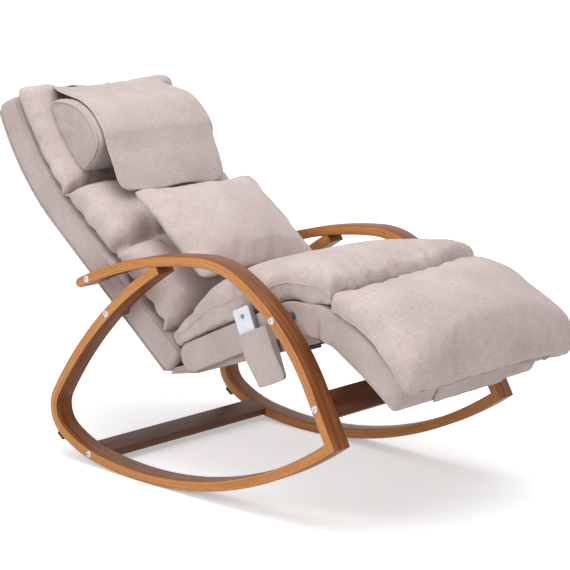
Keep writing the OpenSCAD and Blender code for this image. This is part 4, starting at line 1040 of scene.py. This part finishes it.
def calfMove(d, y, n, up):
    last, high = calfPad["last"], np.clip(n / 30, 0, 1)
    rear, front = 1 - ease(d, calfPad["first"], 90), ease(d, last - 130, last)
    near, far = ease(-y, 170, 275) * front, ease(y, 130, 275) * ease(d, last - 240, last)
    bulge = 3 * np.sign(y) * np.sin(np.pi * np.clip(up, 0, 1) ** 0.7) * (np.abs(y) > 150)
    lift = 14 * far + 12 * (near + far) * high
    n = n * (1 - 0.1 * rear * ease(-y, 140, 262) + 0.26 * rear * ease(y, 60, 230))
    n = n + 5 * ease(y, 60, 220) * bump(d, 80, 50) * np.clip(n / 40, 0, 1)
    n = n + 18 * rear * ease(-y, 175, 255) * np.clip((n - 3) / 14, 0, 1)
    drawn = 0.27 * rear * n + 7 * front * (1 - (y / 280) ** 2) + 6 * near - 18 * far
    return d - drawn, y + bulge + 8 * far, n + lift


def calfFolds(d, y, up):
    depth = gathers(y, d - calfPad["first"], 59, 60, 5, 0.3) + gathers(d, 280 - np.abs(y), 58, 36, 3.5, 0.2)
    return depth + gathers(y, calfPad["last"] - d, 74, 66, 4.5, 1.5) + slowWaves(d, y, 2.4, 0.6)


calfCushion = coverForm("calfCushion", legLine, calfPad, calfWidth, calfSpan, calfFolds, calfMove)


def seamPath(name, side, first, last):
    # the cover's side seam as it lies after the folds
    place, points = seamRows[name]
    ids = np.nonzero((side * place[:, 1] > 200) & (place[:, 0] > first) & (place[:, 0] < last))[0]
    return [tuple(p) for p in points[ids[np.argsort(place[ids, 0])]]]


def frontPath(name, last, half):
    place, points = seamRows[name]
    ids = np.nonzero((np.abs(place[:, 0] - last) < 0.8) & (np.abs(place[:, 1]) < half))[0]
    return [tuple(p) for p in points[ids[np.argsort(place[ids, 1])]]]


# neck pillow: half round, with flat ends
pillow = {"at": 684, "high": 244, "thick": 122, "wide": 404, "shift": -11, "sag": 42, "rest": 64.6,
          "around": 34, "under": 10, "across": 40}


def pillowSide(t, grow, shrink):
    u, v = -np.cos(t), np.sin(t)
    up = pillow["at"] + (pillow["high"] / 2 * shrink + grow) * fullness(u, 0.8) - pillow["sag"] * v
    out = pillow["rest"] + (pillow["thick"] * shrink + grow) * np.maximum(0, v) ** 0.72
    return up, out


def makePillow():
    across, arc = pillow["across"], pillow["around"]
    around = arc + pillow["under"]
    points, held = [], []
    for i in range(across + 1):
        v = -1 + 2 * i / across
        y = pillow["shift"] + pillow["wide"] / 2 * v
        edge = (1 - abs(v)) * pillow["wide"] / 2
        shrink = 1 - 0.06 * (1 - min(1, edge / 14)) ** 2
        up, out = pillowSide(np.pi * np.arange(arc + 1) / arc, 0, shrink)
        share = np.arange(1, pillow["under"]) / pillow["under"]
        up = np.concatenate([up, up[0] * share + up[-1] * (1 - share)])
        out = np.concatenate([out, pillow["rest"] + 0 * share])
        for j in range(around):
            points.append((up[j], y, out[j]))
            held.append(1.0 if out[j] < 70 or i in (0, across) else 0.0)
    faces = [[a, d, c, b] for a, b, c, d in quadRows(across + 1, around, True)]
    for end in (0, across):
        ring = [end * around + j for j in range(around)]
        first = [np.array(points[r]) for r in ring]
        centre = np.mean(first, axis=0)
        for share in (0.72, 0.44, 0.18):
            inner = [len(points) + j for j in range(around)]
            for base in first:
                p = centre + (base - centre) * share
                p[1] += (1 if end else -1) * 3 * (1 - share)
                points.append(tuple(p))
                held.append(0.0)
            for j in range(around):
                a, b, c, e = ring[j], ring[(j + 1) % around], inner[(j + 1) % around], inner[j]
                faces.append([a, e, c, b] if end else [a, b, c, e])
            ring = inner
        faces.append(ring if end else ring[::-1])
    piece = newObject("neckPillow", onLine(backLine, *np.array(points).T), faces, linenCasing)
    faceOut(piece)
    addWeave(piece.data, points)
    smooth(piece)
    return piece, np.array(held)


neckPillow, held = makePillow()
inflateLater(neckPillow, held, 2.0, 0.01, 4)
up, out = pillowSide(np.radians(np.linspace(4, 176, 44)), 0.6, 0.94)
cords("pillowRims", "headrest", [
    onLine(backLine, up, pillow["shift"] + side * pillow["wide"] / 2, out) for side in (1, -1)], 2.3, linen)

# throw cushion: square, thick in the middle, drawn in between its corners
throw = {"at": 245, "wide": 426, "high": 314, "thick": 118, "cells": 40, "lifted": 96}


def makeThrow():
    count = throw["cells"]
    index, points, faces, held = {}, [], [], []
    for side in (1, -1):
        for i in range(count + 1):
            for j in range(count + 1):
                u, v = -1 + 2 * i / count, -1 + 2 * j / count
                rim = i in (0, count) or j in (0, count)
                if side < 0 and rim:
                    index[(side, i, j)] = index[(1, i, j)]
                    continue
                inU, inV = 1 - u * u, 1 - v * v
                bulge = ((1 - abs(u) ** 2.2) * (1 - abs(v) ** 2.2)) ** 0.62
                bulge += 0.05 * math.sin(5 * u + 2 * v + side) * math.sin(4 * v - u) * inU * inV
                x = throw["high"] / 2 * u * (1 - 0.06 * inV - 0.06 * v ** 10) + 2.2 * math.sin(7 * v + 1) * u
                y = throw["wide"] / 2 * v * (1 - 0.05 * inU - 0.05 * u ** 10) + 2.2 * math.sin(6 * u + 2) * v
                half = throw["thick"] / 2
                index[(side, i, j)] = len(points)
                points.append((throw["at"] + x, y, throw["lifted"] + half + side * (half - 3) * bulge))
                held.append(0.9 if rim else 0.0)
    for side in (1, -1):
        for i in range(count):
            for j in range(count):
                quad = [index[(side, i + a, j + b)] for a, b in ((0, 0), (1, 0), (1, 1), (0, 1))]
                faces.append(quad[::-1] if side > 0 else quad)
    piece = newObject("throwCushion", onLine(backLine, *np.array(points).T), faces, linen)
    addWeave(piece.data, points)
    smooth(piece)
    return piece, np.array(held)


throwCushion, held = makeThrow()
inflateLater(throwCushion, held, 2.5, 0.02, 6)
runCloth()
print("covers done")
for piece, body, node in ((backCushion, "frame", "back_pad"), (headCushion, "frame", "head_pad"),
                          (seatCushion, "frame", "seat_pad"), (neckPillow, "headrest", "neck_pillow"),
                          (throwCushion, "throw_cushion", "throw_cushion")):
    settle(piece, body, "linen", node)
cords("seatPiping", "frame", [
    seamPath("seatCushion", side, -22, seatPad["last"] - 4) for side in (1, -1)], 2.0, linen)
near, far = (seamPath("calfCushion", side, 32, calfPad["last"] - 3) for side in (-1, 1))
front = frontPath("calfCushion", calfPad["last"], 238)
calfPiping = piping("calfPiping", near + front + far[::-1], 2.0, linen)
start, end = (tuple(onLine(legLine, d, 0, 0)) for d in (0, 110))
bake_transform(calfCushion)
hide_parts("calf_pad")
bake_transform(calfPiping)

# legrest casing
legCase = {"first": 14, "last": legLen, "halfWidth": 260, "base": -80, "top": -0.3, "corner": 14, "upper": 6,
           "lower": 19, "step": 13, "slant": 20}


def legCaseShape(d, y, n, s):
    deep = n / legCase["base"]
    return d + legCase["slant"] * deep * ease(d, legLen - 60, legLen), y, n - 8 * bump(d, 120, 75) * deep


settle(softBlock("legCasing", legLine, legCase, legCaseShape), "legrest", "linen", "legrest_shell")

# seat flanks, rounded at the rear
flank = {"first": -31, "last": seatLen - 4, "halfWidth": 9, "base": -74, "top": -0.3, "corner": 5, "upper": 4,
         "lower": 4, "step": 9, "bend": 37.0}


def makeFlank(side):
    def shape(d, y, n, s):
        bend = flank["bend"]
        room = np.sqrt(np.maximum(0, bend ** 2 - np.clip(6 - d, 0, bend) ** 2))
        back = 14 * (1 - s) * ease(d, seatLen - 60, flank["last"])
        thick = y * 0.62 * (0.6 + 0.4 * room / bend)
        return d - back, side * (255.6 + thick), np.clip(n, -bend - room, room - bend)

    piece = softBlock("seatFlank", seatLine, flank, shape)
    if side < 0:
        piece.data.flip_normals()
    return piece


settle(joinPieces("seatFlanks", [makeFlank(1), makeFlank(-1)]), "frame", "linen", "seat_side_panels")
ds = np.arange(2, seatLen - 22, 10.0)
cords("flankWelts", "frame", [onLine(seatLine, ds, side * 260.6, -70.5) for side in (1, -1)],
      1.8, linenCasing)

# flap sewn to the head pad's top, over the pillow and down its front
flap = {"wide": 376, "shift": -11, "top": 846, "hang": 164, "corner": 36, "cloth": 3.2, "across": 44}


def flapLine(wave, sewn):
    up, out = pillowSide(np.radians(np.linspace(143, 64, 30)), 6.4, 1)
    shares = np.linspace(0, 1, 12)[:-1]
    firstUp = flap["top"] + (up[0] - flap["top"]) * shares
    firstOut = sewn + (out[0] - sewn) * ease(shares, -0.15, 1.2) - 3 * np.sin(np.pi * shares)
    fall = np.linspace(0, 1, 18)[1:]
    lastUp = up[-1] - flap["hang"] * 0.903 * fall
    lastOut = out[-1] - flap["hang"] * 0.43 * fall + wave * fall + 3 * np.sin(np.pi * fall)
    return np.concatenate([firstUp, up, lastUp]), np.concatenate([firstOut, out, lastOut])


def makeFlap():
    across = flap["across"]
    points = []
    for i in range(across + 1):
        f = -1 + 2 * i / across
        sewn = 61.5 + float(headRise(flap["top"] + 5, np.array(flap["shift"] + f * flap["wide"] / 2)))
        up, out = flapLine(4.5 * math.sin(5.2 * f + 0.6) + 2, sewn)
        run = np.concatenate([[0], np.cumsum(np.hypot(np.diff(up), np.diff(out)))])
        left = run[-1] - run
        bend = np.clip(flap["corner"] - left, 0, flap["corner"])
        half = flap["wide"] / 2 - (flap["corner"] - np.sqrt(flap["corner"] ** 2 - bend ** 2))
        edge = max(0.0, (abs(f) - 0.86) / 0.14)
        curl = 7 * edge ** 2 * np.exp(-((run - 60) / 70) ** 2) - 5 * edge ** 2 * ease(left, 90, 20)
        points += [(u, flap["shift"] + f * h, o) for u, h, o in zip(up, half, out + curl)]
    points = np.array(points)
    piece = newObject("pillowFlap", onLine(backLine, *points.T), quadRows(across + 1, len(up)), linen)
    piece.data.materials.append(lining)
    runs = np.tile(run, across + 1)
    addWeave(piece.data, np.stack([runs, points[:, 1], 0 * runs], axis=-1))
    thicken(piece, flap["cloth"], 1)
    return piece, float(run[-1]) / 1000


pillowFlap, flapLength = makeFlap()
sewn, over = (tuple(onLine(backLine, flap["top"] - d, 0, 70)) for d in (10, 90))
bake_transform(pillowFlap)
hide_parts("pillow_flap")
print("flap", round(flapLength, 3))

# cloth at the knee, from the seat's flanks to the legrest's casing, turned in under the pads, with a tuck
kneeSheet = {"reach": 44, "fold": 26, "deep": 74, "cloth": 2.4}


def kneeCloth(name, side):
    across, down, fold = 26, 15, 4
    rows = fold + down + 1
    points = []
    for i in range(across + 1):
        p = i / across
        w = float(ease(p, 0.1, 0.9))
        reach = kneeSheet["reach"] * (2 * p - 1)
        bulge = 258.9 + 3.2 * math.sin(math.pi * p) ** 0.7
        for j in range(rows):
            n = -1.6 - kneeSheet["deep"] * max(0, j - fold) / down
            seat, leg = onLine(seatLine, seatLen + reach, 0, n), onLine(legLine, reach, 0, n)
            tuck = 7 * math.exp(-((p - 0.42) / 0.04) ** 2) * float(ease(-n, 26, 52))
            ripple = math.sin(9 * p + n / 14) * math.sin(math.pi * p)
            inward = kneeSheet["fold"] * (1 - j / fold) if j < fold else 1.6 * math.exp(-(j - fold) * 1.5)
            spot = seat * (1 - w) + leg * w
            spot[1] = side * (bulge - tuck + ripple - inward) / 1000
            points.append(tuple(spot))
    faces = [quad[::side] for quad in quadRows(across + 1, rows)]
    piece = newObject(name, points, faces, linenCasing)
    addWeave(piece.data, np.array(points) * 1000)
    thicken(piece, kneeSheet["cloth"])
    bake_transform(piece)


for label, side in (("left", 1), ("right", -1)):
    kneeCloth(label + "KneeCloth", side)

# end flap on the legrest
endSheet = {"wide": 260, "top": -4, "deep": 66, "cloth": 3.2, "across": 26, "down": 10}


def makeEndFlap():
    points = []
    across, down = endSheet["across"], endSheet["down"]
    for i in range(across + 1):
        for j in range(down + 1):
            n = endSheet["top"] - endSheet["deep"] * j / down
            wave = 0.7 * math.sin(i * 0.9) * j / down
            points.append((legLen + legCase["slant"] * n / legCase["base"] + 2.6 + wave,
                           endSheet["wide"] * (i / across - 0.5), n))
    faces = quadRows(across + 1, down + 1)
    piece = newObject("endFlap", onLine(legLine, *np.array(points).T), faces, linenCasing)
    addWeave(piece.data, points)
    thicken(piece, endSheet["cloth"], angle=50)
    return piece


endFlap = makeEndFlap()
hem = np.array([(-124, -6), (-124, -40), (-123, -62), (-118, -65), (0, -65.5), (118, -65), (123, -62),
                (124, -40), (124, -6)], float)
flapStitches = stitchRow("endFlapStitches", onLine(
    legLine, legLen + legCase["slant"] * hem[:, 1] / legCase["base"] + 4.5, hem[:, 0], hem[:, 1]))
settle(flapStitches, "legrest", "linen")
settle(endFlap, "legrest", "linen", "legrest_flap")

# remote in its pocket
remote = {"x": 206, "wide": 56, "long": 112, "thick": 12.8, "top": 60, "mouth": -35, "border": 1.2,
          "button": (28, 38), "out": 263.0}


def remoteAt(points):
    # local X forward along the seat, Y out of the chair's right side, Z out of the seat
    p = np.asarray(points, float)
    u, n = remote["x"] + p[:, 0], remote["mouth"] + p[:, 2]
    x = seatStart[0] + u * math.cos(seatLean) - n * math.sin(seatLean)
    z = seatStart[1] + u * math.sin(seatLean) + n * math.cos(seatLean)
    return np.stack([x, -remote["out"] - p[:, 1], z], axis=-1) / 1000


def pocketShape(p):
    low = ease(-p[:, 2], 50, 126)
    middle = np.sin(np.pi * np.clip((p[:, 0] + 2.5) / 96, 0, 1))
    out = p[:, 1] * (1 - 0.6 * low) + 1.6 * middle * ease(p[:, 1], 8, 15)
    return np.stack([45.5 + (p[:, 0] - 45.5) * (1 - 0.05 * low), out, p[:, 2] - 1.5 * middle * low], axis=-1)


def remoteBlock(name, place, size, corner, edge, step, material, shape=None):
    half = (size[0] / 2, size[2] / 2)
    lattice, faces = blockLattice(half, size[1], step)
    local = roundEdges(lattice, half, size[1], corner, edge, edge)
    pts = local[:, [0, 2, 1]] + np.array([half[0], 0, half[1]]) + np.array(place)
    piece = newObject(name, remoteAt(shape(pts) if shape else pts), faces, material)
    faceOut(piece)
    addWeave(piece.data, pts)
    smooth(piece, 40)
    return piece


bottom, edge = remote["top"] - remote["long"], remote["border"]
wide, thick, long = remote["wide"], remote["thick"], remote["long"]
settle(remoteBlock("remoteBody", (0, 0, bottom), (wide, thick, long), 6, 2.5, 3.5, greyAbs),
       "remote", "remote_grey", "remote_shell")
settle(remoteBlock("facePlate", (edge, thick + 0.1, bottom + edge), (wide - 2 * edge, 2.0, long - 2 * edge),
                   5, 0.8, 3, whiteAbs), "remote", "pale_plastic", "remote_faceplate")


def roundOnFace(radius, out, count):
    a = 2 * np.pi * np.arange(count) / count
    x, z = remote["button"]
    return np.stack([x + radius * np.cos(a), out + 0 * a, z + radius * np.sin(a)], axis=-1)


def makeButton():
    rings = [(0.01, 16.1), (2.4, 16.05), (3.9, 15.7), (4.4, 15.0), (4.5, 12.6), (0.01, 12.6)]
    points = np.concatenate([roundOnFace(radius, out, 28) for radius, out in rings])
    piece = newObject("powerButton", remoteAt(points), quadRows(len(rings), 28, True), greyAbs)
    faceOut(piece, 0.00005)
    smooth(piece, 40)
    return piece


button = makeButton()
dialRings = joinPieces("dialRings", [piping("dial", remoteAt(roundOnFace(r, out, 36)), cord, greyAbs, True)
                                     for r, out, cord in ((5.5, 14.9, 0.8), (12.5, 14.95, 0.22))])
settle(dialRings, "remote", "grey_plastic")
settle(button, "remote_button", "grey_plastic", "remote_button")

# the pocket's walls: place, size and corner
pocket = {
    "pocketFront": ((-2.5, 15.8, -130), (96, 2.6, 130), 9),
    "pocketRear": ((-2.5, -2.6, -130), (96, 2.6, 130), 9),
    "pocketLeft": ((-2.5, -1, -124), (2.6, 18, 123), 1.2),
    "pocketRight": ((90.9, -1, -124), (2.6, 18, 123), 1.2),
    "pocketFloor": ((5, -1, -130), (81, 18, 2.6), 1.2),
    "strap": ((64, -2.6, -4), (22, 2.6, 38), 3),
}
remotePocket = joinPieces("remotePocket", [remoteBlock(name, place, size, corner, 1.2, 5, linen, pocketShape)
                                           for name, (place, size, corner) in pocket.items()])
smooth(remotePocket)
hem = [(3, -9), (2, -60), (2, -118), (5, -124), (11, -126), (80, -126), (86, -124), (89, -118), (89, -60),
       (88, -9), (3, -9)]
hem = np.array([p for a, b in zip(hem[:-1], hem[1:]) for p in np.linspace(a, b, 8)[:-1]])
hem = np.stack([hem[:, 0], 18.6 + 0 * hem[:, 0], hem[:, 1]], axis=-1)
pocketStitches = stitchRow("pocketStitches", remoteAt(pocketShape(hem)))
settle(pocketStitches, "frame", "linen")
settle(remotePocket, "frame", "linen", "remote_pocket")
print("remote and pocket made")


# camera, light and floor
def aimAt(piece, target):
    piece.rotation_euler = (Vector(target) - piece.location).to_track_quat("-Z", "Y").to_euler()


view = {"turn": 43.09135, "tilt": 11.29913, "far": 4.30414, "target": (0.0625, 0, 0.466),
        "lens": 1750 / 570 * 36}
turn, tilt = math.radians(view["turn"]), math.radians(view["tilt"])
camera = addObject("view", bpy.data.cameras.new("view"))
camera.data.sensor_width = 36
camera.data.lens = view["lens"]
camera.location = np.array(view["target"]) + view["far"] * np.array((
    math.sin(turn) * math.cos(tilt), -math.cos(turn) * math.cos(tilt), math.sin(tilt)))
aimAt(camera, view["target"])
scene.camera = camera


def seenPlainly(tree):
    # 1 where it is looked at straight on, in a reflection or through something clear
    rays = addNode(tree, "ShaderNodeLightPath", out=None)
    seen = rays["Is Camera Ray"]
    for kind in ("Is Glossy Ray", "Is Transmission Ray"):
        seen = addNode(tree, "ShaderNodeMath", {"operation": "MAXIMUM"}, {0: seen, 1: rays[kind]})
    return seen


# matt studio floor; what looks straight at it, also in a reflection, sees it lifted to white beyond the chair
floorMaterial, tree, shader = newFinish("studioFloor", {"Roughness": 0.9, "Specular IOR Level": 0.1,
                                                        "Emission Color": (1, 1, 1, 1)})
spot = addNode(tree, "ShaderNodeTexCoord", out="Object")
cloud = addNode(tree, "ShaderNodeTexNoise", inputs={"Vector": spot, "Scale": 1.2, "Detail": 2.0})
tint = addNode(tree, "ShaderNodeValToRGB", inputs={"Fac": cloud}, stops=((0.3, "F5F5F5"), (0.7, "F8F8F8")))
tree.links.new(tint, shader.inputs["Base Color"])
away = addNode(tree, "ShaderNodeVectorMath", {"operation": "LENGTH"}, {0: spot}, out="Value")
lift = addNode(tree, "ShaderNodeMapRange", inputs={
    "Value": away, "From Min": 0.7, "From Max": 2.6, "To Min": 0.36, "To Max": 0.75})
lift = addNode(tree, "ShaderNodeMath", {"operation": "MULTIPLY"}, {0: lift, 1: seenPlainly(tree)})
tree.links.new(lift, shader.inputs["Emission Strength"])
corners = [(-30, -30, 0), (30, -30, 0), (30, 30, 0), (-30, 30, 0)]
newObject("floor", corners, [[0, 1, 2, 3]], floorMaterial)

# softboxes: place and size in metres, power in watts
lamps = {"overhead": ((0.3, -0.4, 3.6), (3.4, 3.0), 92), "nearSide": ((0.4, -3.6, 2.3), (2.4, 2.0), 50),
         "footSide": ((3.6, -0.6, 1.9), (1.8, 1.8), 6)}
for name, (place, size, power) in lamps.items():
    lamp = addObject(name, bpy.data.lights.new(name, "AREA"))
    lamp.data.shape = "RECTANGLE"
    lamp.data.size, lamp.data.size_y = size
    lamp.data.energy = power
    lamp.location = place
    aimAt(lamp, (0, 0, 0.4))

world = bpy.data.worlds.new("studio")
scene.world = world
world.use_nodes = True
tree = world.node_tree
power = addNode(tree, "ShaderNodeMapRange",
                inputs={"Value": seenPlainly(tree), "To Min": 0.46, "To Max": 1.0})
background = tree.nodes["Background"]
background.inputs["Color"].default_value = (1, 1, 1, 1)
tree.links.new(power, background.inputs["Strength"])
scene.view_settings.view_transform = "Standard"
